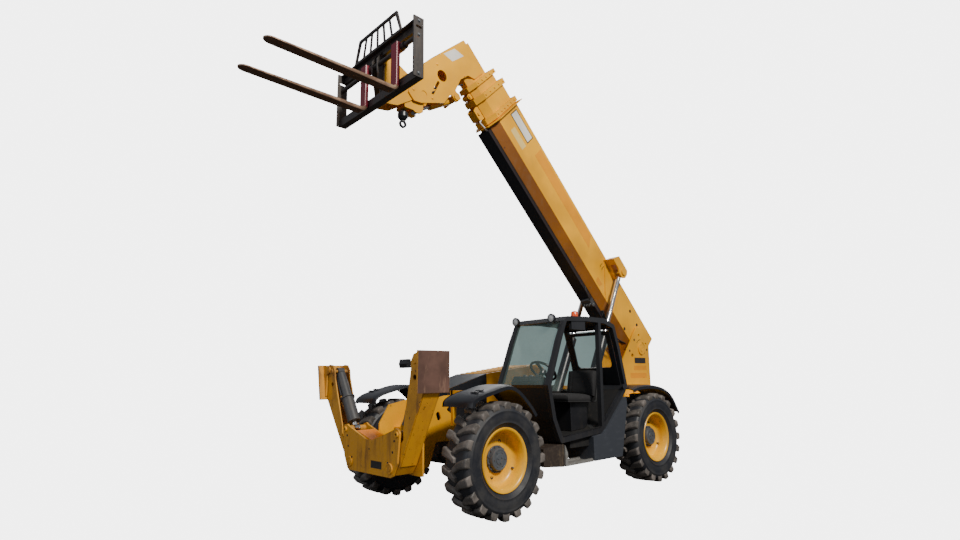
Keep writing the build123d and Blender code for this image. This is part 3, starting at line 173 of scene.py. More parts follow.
class Finish:
    """One material: a Principled shader and the nodes that feed it."""

    def __init__(self, name, **numbers):
        self.material = bpy.data.materials.new(name)
        self.material.use_nodes = True
        self.tree = self.material.node_tree
        self.shader = self.tree.nodes["Principled BSDF"]
        self.set(**numbers)

    def make(self, kind, settings, *values, **named):
        """Adds a node, sets it, feeds its sockets by order or by name and returns its output."""
        node = self.tree.nodes.new(kind)
        for key, value in settings.items():
            setattr(node, key, value)
        for key, value in list(enumerate(values)) + [(k.replace("_", " "), v) for k, v in named.items()]:
            self.feed(node.inputs[key], value)
        return Field(self, next(o for o in node.outputs if o.enabled))

    def feed(self, socket, value):
        if isinstance(value, Field):
            self.tree.links.new(value.socket, socket)
        else:
            socket.default_value = value

    def set(self, **sockets):
        for key, value in sockets.items():
            if isinstance(value, tuple) and len(value) == 3:
                value = (*value, 1)
            self.feed(self.shader.inputs[key.replace("_", " ")], value)

    def place(self):
        return self.make("ShaderNodeTexCoord", {}).part("Object")

    def noise(self, scale, detail=3.0, vector=None, rough=0.55):
        """Cloudy noise from 0 to 1, with scale as its spots in a metre."""
        return self.make("ShaderNodeTexNoise", {}, Vector=vector or self.place(), Scale=scale,
                         Detail=detail, Roughness=rough).part("Fac" if bpy.app.version < (5, 0) else "Factor")

    def stretch(self, scale, turn=(0, 0, 0)):
        """The place, turned and scaled along each axis, for streaks and grain."""
        return self.make("ShaderNodeMapping", {}, Vector=self.place(), Rotation=turn, Scale=scale)

    def mix(self, factor, first, second):
        """A colour between two others."""
        node = self.tree.nodes.new("ShaderNodeMix")
        node.data_type = "RGBA"
        self.feed(node.inputs[0], factor)
        for socket, value in ((node.inputs[6], first), (node.inputs[7], second)):
            self.feed(socket, (*value, 1) if isinstance(value, tuple) else value)
        return Field(self, node.outputs[2])

    def bump(self, height, distance, strength):
        """Raises the surface by a height, in which 1 is the distance in metres."""
        self.set(Normal=self.make("ShaderNodeBump", {}, Strength=strength, Distance=distance, Height=height))


def paint(name, colour, dust, rust=0.0, gloss=0.38, patch=0.12):
    """Sprayed paint: the colour drifts in wide patches, grime gathers low down and in
    streaks, small chips show rust, and fine orange peel breaks the gloss."""
    finish = Finish(name, Coat_Roughness=0.2)
    height = finish.make("ShaderNodeSeparateXYZ", {}, finish.place()).part("Z")
    wide = finish.noise(0.9, 4)
    fine = finish.noise(28.0, 5)
    streak = finish.noise(6.0, 4, finish.stretch((2.2, 2.2, 0.35)))
    darker = tuple(c * (1 - 2.2 * patch) for c in colour)
    lighter = tuple(min(1, c * (1 + patch)) for c in colour)
    base = finish.mix(wide.ease(0.32, 0.68), darker, lighter)
    grime = (streak.ease(0.5, 0.72) * 0.55 + fine.ease(0.45, 0.75) * 0.35) * dust
    low = height.ease(0.2, 1.5, 1.0, 0.25)
    dusty = finish.mix((grime * low * 1.5).least(0.8), base, (0.19, 0.145, 0.09))
    chips = finish.noise(11.0, 8, rough=0.72)
    chip_level = 0.735 - 0.16 * rust
    worn = (chips + fine * 0.12).ease(chip_level, chip_level + 0.03)
    rusty = finish.mix(finish.noise(40.0, 3).ease(0.35, 0.65), (0.055, 0.022, 0.011), (0.16, 0.062, 0.024))
    finish.set(Base_Color=finish.mix(worn, dusty, rusty))
    rough = gloss + grime * 0.45 + worn * 0.4
    finish.set(Roughness=rough.least(0.95), Coat_Weight=(1 - worn) * 0.12)
    finish.bump(finish.noise(220.0, 2) * 0.35 + fine * 0.4 - worn * 0.9, 0.0012, 0.35)
    return finish.material


FINISH = {
    "yellow": paint("yellow_paint", (0.93, 0.43, 0.004), 0.22),
    "orange": paint("orange_paint", (0.86, 0.24, 0.002), 0.15),
    "stripe": paint("stripe_paint", (0.80, 0.31, 0.0), 0.12),
    "pale": paint("pale_yellow_label", (0.85, 0.62, 0.20), 0.2),
    # painted shade: near-black for the cab's floor and its cradle, where shade falls under the cab
    "under": paint("underside_painted_shade", (0.005, 0.005, 0.006), 0.1, gloss=0.8),
    # painted shade: the dark brown of the boom's lower chamfers, which face down
    "chamfer_shade": paint("chamfer_painted_shade", (0.30, 0.10, 0.008), 0.6, 0.3, 0.5, 0.15),
    "rim": paint("wheel_yellow", (0.92, 0.45, 0.006), 0.3, 0.05, 0.34),
    "hub": paint("hub_grey", (0.07, 0.08, 0.095), 0.3, 0.1, 0.5),
    "label": paint("pale_label", (0.78, 0.76, 0.70), 0.3, gloss=0.4),
    "badge": paint("black_label", (0.02, 0.02, 0.02), 0.2, gloss=0.4),
    "sill": paint("brown_sill", (0.03, 0.021, 0.017), 0.5, 0.1, 0.5),
    "black": paint("black_paint", (0.010, 0.012, 0.018), 0.1, gloss=0.36),
    "grey": paint("dark_grey_paint", (0.045, 0.046, 0.05), 0.4, 0.2, 0.45),
    "cab": paint("cab_black", (0.017, 0.018, 0.022), 0.08, gloss=0.3),
    "bars": paint("carriage_paint", (0.035, 0.028, 0.027), 0.6, 0.4, 0.45),
    "maroon": paint("maroon_paint", (0.25, 0.008, 0.03), 0.3, 0.2, 0.4),
}


def worn_paint(name, colour, brown, cover):
    """Old paint dragged through stone: brown rust runs down it in long soft streaks,
    gathers in blotches and breaks through in small dark chips."""
    finish = Finish(name, Coat_Roughness=0.25)
    streak = finish.noise(9.0, 7, finish.stretch((1.0, 1.0, 0.16)), rough=0.62)
    blotch = finish.noise(2.6, 5)
    speck = finish.noise(26.0, 7, rough=0.75)
    stain = (streak.ease(0.46, 0.66) * 0.75 + blotch.ease(0.45, 0.7) * 0.5).least(1.0) * cover
    base = finish.mix(stain, colour, brown)
    chip = (speck + blotch * 0.25).ease(0.755, 0.785)
    finish.set(Base_Color=finish.mix(chip, base, (0.055, 0.024, 0.014)),
               Roughness=0.42 + stain * 0.4, Coat_Weight=(1 - stain) * 0.2)
    finish.bump(streak * 0.5 + speck * 0.5 - chip * 0.8, 0.0015, 0.35)
    return finish.material


def foot_skin():
    """The feet's underside: mauve-brown rust rubbed smooth, with pale vertical scratches."""
    finish = Finish("foot_plate_rust")
    scratch = finish.noise(7.0, 8, finish.stretch((1.2, 1.2, 0.22)), rough=0.7)
    wide = finish.noise(3.0, 4)
    base = finish.mix(wide.ease(0.35, 0.65), (0.085, 0.042, 0.032), (0.15, 0.078, 0.058))
    finish.set(Base_Color=finish.mix(scratch.ease(0.54, 0.72), base, (0.36, 0.22, 0.15)), Metallic=0.15,
               Roughness=0.62 + wide * 0.15)
    finish.bump(scratch, 0.001, 0.3)
    return finish.material


FINISH["worn_yellow"] = worn_paint("worn_yellow_paint", (0.72, 0.33, 0.02), (0.24, 0.105, 0.025), 0.85)
FINISH["web_yellow"] = worn_paint("web_yellow_paint", (0.80, 0.37, 0.01), (0.50, 0.20, 0.015), 0.45)
FINISH["foot"] = foot_skin()

# %% [markdown]
# ## Rubber, steel, glass and plastic
#
# Tyre rubber is nearly black but reads grey-brown from the dust in its pores.  The
# rams' rods are hard chrome, the fork blades bare steel gone brown, the glass a
# grey-green tint and the side mouldings a rough blue-black plastic.

# %% The other finishes
def rubber(name, dark, dusty, cover):
    """Black rubber: dust in wide patches and in the pores, no gloss."""
    finish = Finish(name)
    dust = finish.noise(5.0, 6).ease(0.38, 0.70) * 0.6 + finish.noise(60.0, 3).ease(0.5, 0.8) * 0.4
    finish.set(Base_Color=finish.mix((dust * cover).least(0.9), dark, dusty), Roughness=0.5 + dust * 0.3)
    finish.bump(finish.noise(90.0, 6), 0.002, 0.5)
    return finish.material


def bare_steel(name, bright, dark, rough):
    """Worn steel: brown skin over brighter rubbed metal, drawn out along the blade."""
    finish = Finish(name)
    grain = finish.noise(14.0, 8, finish.stretch((0.6, 3.0, 2.0)), rough=0.7)
    rubbed = grain.ease(0.42, 0.62)
    finish.set(Base_Color=finish.mix(rubbed, dark, bright), Metallic=0.35 + rubbed * 0.35,
               Roughness=(rough + 0.25) - rubbed * 0.25)
    finish.bump(grain + finish.noise(150.0, 3) * 0.3, 0.0015, 0.4)
    return finish.material


def chrome():
    """Hard chrome with a thin oily bloom."""
    finish = Finish("chrome_rod", Metallic=1.0)
    bloom = finish.noise(9.0, 5).ease(0.45, 0.75)
    finish.set(Base_Color=finish.mix(bloom, (0.72, 0.73, 0.75), (0.5, 0.48, 0.44)),
               Roughness=0.09 + bloom * 0.2)
    return finish.material


def glass():
    """Tinted safety glass: a thin film of dust dulls a clear grey-green pane."""
    finish = Finish("tinted_glass", Roughness=0.06, IOR=1.45, Specular_IOR_Level=0.4)
    film = finish.noise(1.8, 4).ease(0.4, 0.8)
    finish.set(Base_Color=finish.mix(film, (0.20, 0.29, 0.27), (0.28, 0.37, 0.35)), Alpha=0.14 + film * 0.06)
    return finish.material


def moulded(name, colour, rough, grain=300.0):
    """Moulded plastic: fine grain and faint scuffs."""
    finish = Finish(name)
    scuff = finish.noise(7.0, 6, finish.stretch((1, 1, 3))).ease(0.5, 0.85)
    finish.set(Base_Color=finish.mix(scuff * 0.4, colour, tuple(c * 2 + 0.03 for c in colour)),
               Roughness=rough + scuff * 0.15)
    finish.bump(finish.noise(grain, 2), 0.0006, 0.35)
    return finish.material


FINISH.update({
    "tyre": rubber("tyre_rubber", (0.013, 0.015, 0.022), (0.07, 0.066, 0.06), 0.55),
    "lug": rubber("lug_rubber", (0.07, 0.064, 0.06), (0.23, 0.20, 0.185), 1.0),
    "hose": rubber("hose_rubber", (0.012, 0.012, 0.013), (0.05, 0.05, 0.05), 0.3),
    "steel": bare_steel("fork_steel", (0.26, 0.17, 0.115), (0.15, 0.085, 0.055), 0.5),
    "tread": bare_steel("step_steel", (0.42, 0.42, 0.41), (0.2, 0.19, 0.18), 0.45),
    "chrome": chrome(),
    "glass": glass(),
    "plastic": moulded("moulded_plastic", (0.035, 0.04, 0.052), 0.5),
    "dash": moulded("dash_plastic", (0.02, 0.02, 0.021), 0.55),
    "cloth": moulded("seat_cloth", (0.015, 0.015, 0.017), 0.85, 500.0),
    "amber": moulded("amber_lens", (0.80, 0.085, 0.012), 0.18, 120.0),
    "lens": moulded("lamp_lens", (0.55, 0.57, 0.58), 0.12, 80.0),
})
print("finishes", len(FINISH))

# %% [markdown]
# ## Finishing the solids
#
# Most solids already have the real outline, so they keep their mesh and only get
# their finish.  The stabilisers' paint is the most worn of all, with rust coming
# through, because the feet and legs are dragged through stone.

# %% Give each solid its finish
NODE_FINISH = {
    "yellow": ("boom_", "carriage_hitch", "tilt_barrel", "engine_hood", "chassis_frame", "counterweight"),
    "black": ("hose_tray", "load_hook", "lift_barrels", "fenders", "engine_block"),
    "bars": ("fork_carriage", "load_backrest"),
    "chrome": ("lift_rods", "tilt_rod", "stabiliser_rod"),
    "worn_yellow": ("stabiliser_frame", "stabiliser_leg", "stabiliser_foot"),
    "grey": ("axle_beams", "knuckle", "stabiliser_barrel"),
    "cab": ("cab_frame", "cab_roof", "roof_lamps", "mirror"),
    # the cab's floor gets the near-black painted shade
    "under": ("cab_floor",), "glass": ("cab_glass",), "cloth": ("seat",), "dash": ("cab_controls",),
    "sill": ("battery_box",), "tread": ("cab_step",), "plastic": ("tank_cladding",), "amber": ("beacon",),
    "steel": ("forks",), "tyre": ("tyre",), "rim": ("rim",),
}
for name, obj in nodes.items():
    obj.data.materials.clear()
    obj.data.materials.append(FINISH[next(f for f, starts in NODE_FINISH.items() if name.startswith(starts))])
print("solids finished", len(nodes))

# %% [markdown]
# ## Tools for new surfaces
#
# Every new piece is built from a few kinds of surface, each worked out with numpy and
# gathered in a Piece until it is whole: a grid of points, a profile turned about an
# axis, an outline given thickness, and a tube drawn along a line.  Places are given in
# millimetres, as on a drawing, and thin details stand a millimetre or two proud.

# %% The Piece class
MIDDLE = -0.3989011          # mid-wheelbase in the frame, in metres


def chassis(x, y, z):
    """A place measured from the ground midway between the axles, in millimetres."""
    return np.array([MIDDLE + x / 1000, y / 1000, z / 1000])


BOOM_Y, PIVOT_X, PIVOT_Z = -50, -3000, 2020
PIVOT = chassis(PIVOT_X, BOOM_Y, PIVOT_Z)
ALONG = np.array([cos(pi / 4), 0, sin(pi / 4)])
ACROSS = np.array([-sin(pi / 4), 0, cos(pi / 4)])


def boom(u, y, v):
    """A place on the boom: u along it, y left of its middle, v across it, in millimetres."""
    return PIVOT + ALONG * u / 1000 + ACROSS * v / 1000 + np.array([0, y / 1000, 0])


def side_view(place, y, *outline):
    """An outline seen from the left, at one y, whose places are made by chassis or by boom."""
    return [place(a, y, b) for a, b in outline]


def strip(place, x0, x1, start, end):
    """The corners of a flat strip between two x, which runs from one (y, z) to another."""
    return [place(x0, *start), place(x1, *start), place(x1, *end), place(x0, *end)]


class Piece:
    """Surfaces gathered into one mesh, each with its own finish."""

    def __init__(self, name, body, *finishes):
        self.name, self.body, self.finishes = name, body, finishes
        self.points, self.faces, self.slots, self.soft = [], [], [], []

    def surface(self, points, faces, slot=0, smooth=True):
        start = len(self.points)
        self.points += [tuple(map(float, p)) for p in points]
        for face in faces:
            self.faces.append([start + i for i in face])
            self.slots.append(slot)
            self.soft.append(smooth)

    def grid(self, points, slot=0, closed=(False, False), smooth=True):
        """A net of points with shape (rows, columns, 3), closed along either way if asked."""
        points = np.asarray(points, float)
        rows, columns = points.shape[:2]
        faces = []
        for i in range(rows if closed[0] else rows - 1):
            for j in range(columns if closed[1] else columns - 1):
                i2, j2 = (i + 1) % rows, (j + 1) % columns
                faces.append([i * columns + j, i * columns + j2, i2 * columns + j2, i2 * columns + j])
        self.surface(points.reshape(-1, 3), faces, slot, smooth)

    def lathe(self, centre, axis, profile, slot=0, steps=64):
        """Turns (distance along the axis, radius), in millimetres, about an axis through a centre."""
        axis = np.array(axis, float) / np.linalg.norm(axis)
        aside = np.cross(axis, [0, 0, 1.0] if abs(axis[2]) < 0.9 else [1.0, 0, 0])
        aside /= np.linalg.norm(aside)
        third = np.cross(axis, aside)
        t = np.linspace(0, TURN, steps, endpoint=False)[:, None, None]
        d, r = (np.array(profile, float).T / 1000)[:, None, :, None]
        spokes = aside * np.cos(t) + third * np.sin(t)
        self.grid(np.array(centre) + axis * d + spokes * r, slot, (True, False))

    def plate(self, outline, direction, slot=0):
        """An outline of 3-D points given thickness by a vector in millimetres."""
        n = len(outline)
        front = [np.array(p, float) for p in outline]
        back = [p + np.array(direction, float) / 1000 for p in front]
        sides = [[i, (i + 1) % n, n + (i + 1) % n, n + i] for i in range(n)]
        self.surface(front + back, [list(range(n))[::-1], list(range(n, 2 * n))] + sides, slot, False)

    def box(self, low, high, slot=0):
        """A box between two corners in metres."""
        x0, y0, z0 = low
        x1, y1, z1 = high
        self.plate([(x0, y0, z0), (x1, y0, z0), (x1, y1, z0), (x0, y1, z0)], (0, 0, 1000 * (z1 - z0)), slot)

    def tube(self, path, radius, slot=0, steps=12, rounds=6, closed=False):
        """A round tube, its radius in millimetres, along a smooth line through some places."""
        line = smooth_line(path, rounds, closed)
        ahead = np.roll(line, -1, 0) - np.roll(line, 1, 0)
        if not closed:
            ahead[0], ahead[-1] = line[1] - line[0], line[-1] - line[-2]
        ahead /= np.linalg.norm(ahead, axis=1)[:, None]
        side = np.cross(ahead[0], [0.3, 0.5, 0.81])
        rings = []
        for place, along in zip(line, ahead):
            side = side - along * side.dot(along)
            side /= np.linalg.norm(side)
            third = np.cross(along, side)
            t = np.linspace(0, TURN, steps, endpoint=False)[:, None]
            rings.append(place + (side * np.cos(t) + third * np.sin(t)) * radius / 1000)
        self.grid(rings, slot, (closed, True))
        if not closed:
            for ring in (rings[0], rings[-1]):
                self.surface(ring, [list(range(steps))], slot, False)

    def bolts(self, places, normal, radius, height, slot=0):
        """Hexagon heads on a face, each with a thin washer under it."""
        washer, seat = radius * 1.35, height * 0.3
        head = [(seat, radius), (height * 0.9, radius), (height, radius * 0.85), (height, 0)]
        for place in places:
            self.lathe(place, normal, [(0, washer), (seat, washer), (seat, 0)], slot, 16)
            self.lathe(place, normal, head, slot, 6)

    def done(self, *replaced, bevel=0.0, angle=35):
        """Makes the mesh, rounds its edges, and says what it rides on and stands for."""
        mesh = bpy.data.meshes.new(self.name)
        mesh.from_pydata(self.points, [], self.faces)
        for finish in self.finishes:
            mesh.materials.append(FINISH[finish])
        mesh.polygons.foreach_set("material_index", self.slots)
        mesh.polygons.foreach_set("use_smooth", [True] * len(self.soft))
        mesh.validate()
        obj = bpy.data.objects.new(self.name, mesh)
        bpy.context.scene.collection.objects.link(obj)
        sharp_edges(mesh, angle)
        if bevel:
            rounding = obj.modifiers.new("rounding", "BEVEL")
            rounding.width = bevel
            rounding.segments = 2
            rounding.limit_method = "ANGLE"
            rounding.angle_limit = radians(angle)
            rounding.harden_normals = True
        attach(obj, self.body)
        if replaced:
            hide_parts(*replaced)
        return obj


def sharp_edges(mesh, angle):
    """Marks the edges between faces that meet at more than an angle as sharp."""
    work = bmesh.new()
    work.from_mesh(mesh)
    bmesh.ops.remove_doubles(work, verts=work.verts, dist=1e-6)
    bmesh.ops.recalc_face_normals(work, faces=work.faces)
    for edge in work.edges:
        edge.smooth = len(edge.link_faces) == 2 and edge.calc_face_angle(0) < radians(angle)
    work.to_mesh(mesh)
    work.free()


def smooth_line(path, rounds, closed=False):
    """A line through the given places, bent smoothly (Catmull-Rom)."""
    p = np.array(path, float)
    if rounds <= 1:
        return p
    n = len(p)
    before = [p[(i - 1) % n] if closed or i > 0 else 2 * p[0] - p[1] for i in range(n)]
    after = [p[(i + 1) % n] if closed or i < n - 1 else 2 * p[-1] - p[-2] for i in range(n)]
    out = []
    for i in range(n if closed else n - 1):
        j = (i + 1) % n
        for t in np.arange(rounds) / rounds:
            out.append(0.5 * (2 * p[i] + (p[j] - before[i]) * t
                              + (2 * before[i] - 5 * p[i] + 4 * p[j] - after[j]) * t**2
                              + (3 * p[i] - before[i] - 3 * p[j] + after[j]) * t**3))
    if not closed:
        out.append(p[-1])
    return np.array(out)


CORNERS = ("front_left", "front_right", "rear_left", "rear_right")

# %% [markdown]
# ## Tyres
#
# The carcass is one profile turned about the axle: a bead, a bulging sidewall with two
# raised rings, a round shoulder and a nearly flat tread.  Each lug is a bar that starts
# at the tread's middle, bends and runs over the shoulder.  Its cross-section is a low
# arch h(t) = 1 - |t|^7, so its edges are rounded, and its top is ground dusty and pale.

# %% Turn the tyres and wrap their lugs
TYRE_R, LUGS = 640, 20
CARCASS = [(148, 322), (150, 352), (166, 372), (184, 398), (190, 402), (194, 408),
           (190, 416), (196, 440), (200, 470), (200, 500), (197, 524), (200, 530),
           (198, 538), (191, 546), (184, 566), (172, 584), (152, 596), (110, 601),
           (50, 603), (0, 604)]
LUG_ROOT, LUG_ARC = 588, 620      # radius where a lug rises, and the one that its arcs are measured on
LUG_MIDDLE = [(-12, 52), (20, 38), (52, 10), (94, -6), (140, -18),
              (172, -28), (186, -32)]
LUG_HALF = [34, 44, 48, 52, 56, 58, 58]
SHOULDER = [(198, 628, 575), (200.5, 606, 560), (196, 574, 548), (188, 556, 545)]


def middle_of(node):
    """The middle of a node's box."""
    low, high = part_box(node)
    return (np.array(low) + np.array(high)) / 2


def lug_net(turn, row, centre):
    """One lug: stations along its middle line, 9 points across at each, then down the shoulder."""
    t = np.linspace(-1, 1, 9)
    arch = 1 - np.abs(t) ** 7
    net = [(np.full(9, -20), 54 + 30 * t, np.full(9, 596))]
    for (y, arc), half in zip(LUG_MIDDLE, LUG_HALF):
        top = TYRE_R - 2 - 6 * max(0, abs(y) / 100 - 1) ** 2
        edge = half * np.sign(t) * np.abs(t) ** 0.85
        net.append((np.full(9, y), arc + edge, LUG_ROOT + (top - LUG_ROOT) * arch))
    for y, top, base in SHOULDER:
        net.append((188 + (y - 188) * arch, -34 + 57 * t, base + (top - base) * arch))
    out = []
    for y, arc, radius in net:
        angle = turn + arc / LUG_ARC
        out.append(centre + np.stack([radius * np.sin(angle), row * y, radius * np.cos(angle)], -1) / 1000)
    return np.array(out)


for corner in CORNERS:
    centre = middle_of(f"tyre_{corner}")
    tyre = Piece(f"rubber_{corner}", f"wheel_{corner}", "tyre", "lug")
    right_half = [(-y, r) for y, r in CARCASS]
    tyre.lathe(centre, (0, 1, 0), right_half + CARCASS[-2::-1], 0, 96)
    for k in range(LUGS):
        tyre.grid(lug_net(TURN * k / LUGS, 1, centre), 1)
        tyre.grid(lug_net(TURN * (k + 0.5) / LUGS, -1, centre), 1)
    tyre.done(f"tyre_{corner}", angle=50)
print("tyres", len(CORNERS), "with", 2 * LUGS, "lugs each")

# %% [markdown]
# ## Wheels
#
# The rim is pressed steel: a rolled lip, a deep barrel with a step, and a dished disc
# with round holes.  On it sits the axle's planetary hub, a grey drum with a ring of
# nuts, a bolted cover and a filler plug.

# %% Turn the rims and hubs
RIM = [(-165, 300), (-165, 346), (-160, 353), (-152, 353), (-150, 345), (-150, 322),
       (-130, 318), (130, 318), (150, 322), (150, 345), (152, 353), (160, 353.5),
       (166, 348), (165, 338), (156, 322), (140, 310), (118, 305), (104, 296.5),
       (60, 293), (35, 288), (18, 276), (6, 256), (1, 235), (4, 205),
       (10, 150), (10, 118), (-12, 118), (-12, 286), (-60, 290), (-150, 296),
       (-165, 300)]
HUB = [(-12, 56), (-12, 125), (10, 150), (24, 150), (28, 146), (28, 128),
       (66, 122), (74, 116), (76, 104), (72, 100), (72, 60), (78, 56),
       (78, 0)]
for corner in CORNERS:
    centre = middle_of(f"rim_{corner}")
    side = 1 if corner.endswith("left") else -1
    outwards = (0, side, 0)
    wheel = Piece(f"wheel_{corner}_rim", f"wheel_{corner}", "rim", "hub", "black")
    wheel.lathe(centre, outwards, RIM, 0, 96)
    wheel.lathe(centre, outwards, HUB, 1, 64)

    def on_disc(radius, angle, out):
        return centre + np.array([radius * cos(angle), side * out, radius * sin(angle)]) / 1000

    for count, circle, start, out, head in ((12, 138, TURN / 24, 26, (11, 14)), (6, 82, 0, 72, (8, 7)),
                                            (3, 34, 0.4, 77, (10, 8))):
        places = [on_disc(circle, start + TURN * k / count, out) for k in range(count)]
        wheel.bolts(places, outwards, *head, 1)
    # the disc's round holes are black dished discs just proud of it, painted shade for the dark inside the
    # holes
    for angle in (1.9, 1.9 + pi):
        wheel.lathe(on_disc(200, angle, 4.5), outwards, [(0, 22), (2, 20), (-1, 0)], 2, 24)
    valve = on_disc(268, 3.6, 20)
    wheel.lathe(valve, outwards, [(0, 11), (30, 10), (34, 6), (34, 0)], 1, 12)
    wheel.done(f"rim_{corner}", angle=35)
print("wheels dressed")

# %% [markdown]
# ## Fenders
#
# A fender is a moulded arch: a crowned strip that follows a smooth line over the wheel,
# turned down at its outer edge.  The strip's section at w from 0 (inner) to 1 (outer)
# sinks by 22 |2w - 1|^5 millimetres, which rounds both edges.  The front arches have
# four short louvres, and every arch stands on a square arm and a post.

# %% Bend the fenders
ARCHES = {
    "front": [(2130, 1232), (2108, 1300), (2010, 1358), (1810, 1412), (1530, 1466), (1340, 1402),
              (1150, 1236), (1048, 1116)],
    "rear": [(-1035, 1360), (-1250, 1400), (-1590, 1405), (-1900, 1360), (-2150, 1230), (-2350, 975)],
}
ARM_X = {"front": 1500, "rear": -1600}
ARM_TOP, ARM_HALF = 1390, 30
SHEET, LIP = 12, 62
ACROSS_STRIP = 15
fender = Piece("moulded_fenders", "chassis", "black", "yellow")
for place, arch in ARCHES.items():
    line = smooth_line([(x, 0, z) for x, z in arch], 6)
    ahead = np.gradient(line, axis=0)
    normal = np.stack([-ahead[:, 2], np.zeros(len(line)), ahead[:, 0]], -1)
    normal /= np.linalg.norm(normal, axis=1)[:, None]
    normal *= np.where(normal[:, 2:3] < 0, -1, 1)
    w = np.linspace(0, 1, ACROSS_STRIP)
    drop = 22 * np.abs(2 * w - 1) ** 5
    for side in (1, -1):
        y = side * (700 + 500 * w)
        rows = []
        for (x, _, z), n in zip(line, normal):
            def sunk(wide, depth):
                return chassis(x - n[0] * depth, wide, z - n[2] * depth)

            crown = [sunk(b, d) for b, d in zip(y, drop)]
            lip = [sunk(side * 1199, LIP), sunk(side * 1190, LIP)]
            under = [sunk(b, d + SHEET) for b, d in zip(y * 0.994, drop)]
            rows.append(crown + lip + under[::-1] + [sunk(side * 702, SHEET)])
        fender.grid(rows, 0, (False, True))
        k = ACROSS_STRIP
        for row in (rows[0], rows[-1]):
            caps = [[i, i + 1, 2 * k - i, 2 * k + 1 - i] for i in range(k - 1)]
            fender.surface(row, caps + [[k - 1, k, k + 1, k + 2], [0, 2 * k + 1, 2 * k + 2]], 0, False)
        if place == "front":
            for k in range(4):
                x, z = 1930 - 75 * (k % 2), 1386 + 19 * (k % 2)
                y0 = side * (1010 + 62 * (k // 2))
                y1 = y0 + side * 44
                fender.plate([chassis(x, y0, z), chassis(x + 34, y0, z - 8), chassis(x + 34, y1, z - 8),
                              chassis(x, y1, z)], (0, 0, 10))
        post = BOOM_Y + side * 220
        arm = sorted((BOOM_Y + side * 190, side * 740))
        for (low_y, high_y), bottom in ((arm, 1330), ((post - 20, post + 20), 960)):
            fender.box(chassis(ARM_X[place] - ARM_HALF, low_y, bottom),
                       chassis(ARM_X[place] + ARM_HALF, high_y, ARM_TOP), 1)
fender.done("fenders", angle=40)
print("fenders", 2 * len(ARCHES))

# %% [markdown]
# ## The boom's side
#
# A long orange stripe runs near the top edge, a second, short one sits in front of the
# lift bracket, and a blank pale label in a black border stands near the collar.  The
# chamfers under the boom are painted dark brown, which is painted shade for the shadow
# under the boom.  Black hoses leave the tray at the valve block and sag to the boom's foot.

# %% Stripes, label, bolts and hoses of the boom
LABEL = 1.6                       # thickness of a stripe or a label
FLANK, BORDERED = 195, 196.6         # half width of the boom, and of a label over its border
boom_trim = Piece("boom_trim", "boom_outer", "stripe", "label", "chamfer_shade", "yellow", "pale", "black")
for side in (1, -1):
    out, lift = (0, side, 0), (0, side * LABEL, 0)
    for slot, half, *outline in (
            (0, FLANK, (2180, 225), (4080, 225), (4080, 440), (2300, 440)),
            (0, FLANK, (1560, -60), (1690, -60), (1690, 40), (1520, 40)),
            (5, FLANK, (4310, 215), (4850, 215), (4850, 405), (4310, 405)),
            (4, FLANK, (4300, 20), (4660, 20), (4660, 150), (4300, 150)),
            (1, BORDERED, (4325, 230), (4835, 230), (4835, 390), (4325, 390))):
        boom_trim.plate(side_view(boom, side * half, *outline), lift, slot)
    # the chamfer along the bottom, painted brown as painted shade
    boom_trim.plate(strip(boom, 60, 4905, (side * 196, -101), (side * 101, -251)), lift, 2)
    # the collar's bolts, the two arc slots of the lift bracket, drawn as black tubes of painted shade, and
    # the bosses near the foot
    boom_trim.bolts(side_view(boom, side * 223, *[(4990, v) for v in range(-60, 441, 100)]), out, 14, 12, 3)
    for k in range(2):
        arc = [(1690 + 62 * k + 34 * cos(t), 262 + 52 * sin(t)) for t in np.linspace(-0.9, 0.9, 9)]
        boom_trim.tube(side_view(boom, side * 212, *arc), 4, 5, 8, 2)
    boom_trim.bolts(side_view(boom, side * FLANK, (330, 300), (640, 330), (560, -60)), out, 22, 6, 5)
boom_trim.bolts([boom(4990, y, 517) for y in (-150, -50, 50, 150)], ACROSS, 14, 12, 3)
boom_trim.done()

hoses = Piece("boom_hoses", "boom_outer", "hose", "grey", "label")
for y, sag in ((150, 0), (128, 30), (-150, 10)):
    hoses.tube([boom(u, y + aside, v) for u, aside, v in (
        (1180, 0, -262), (1000, 8, -330 - sag), (760, 6, -352 - sag), (520, 0, -300 - sag), (330, -10, -190),
        (160, -30, -120))], 13)
for radius, slot, *path in (
        (10, 0, (1500, 118, -352), (1560, 140, -390), (1690, 146, -372), (1760, 124, -300)),
        (12, 2, (4860, 60, -300), (4950, 66, -330), (5040, 66, -352), (5056, 60, -300))):
    hoses.tube([boom(*place) for place in path], radius, slot)
hoses.plate(side_view(boom, 160, (1400, -346), (1540, -346), (1540, -420), (1470, -440), (1400, -420)),
            (0, -200, 0), 1)
UNION = [(0, 22), (30, 22), (30, 14), (52, 14), (52, 0)]
for y in (120, 70, 20):
    hoses.lathe(boom(1470, y, -432), -ACROSS, UNION, 1, 16)
hoses.done()

# %% [markdown]
# ## The boom's collars and nose
#
# Each section ends in a bolted collar of welded plates.  The nose has a dark worn strip
# along its top edge, a blank pale label across its side, and hoses through its window.

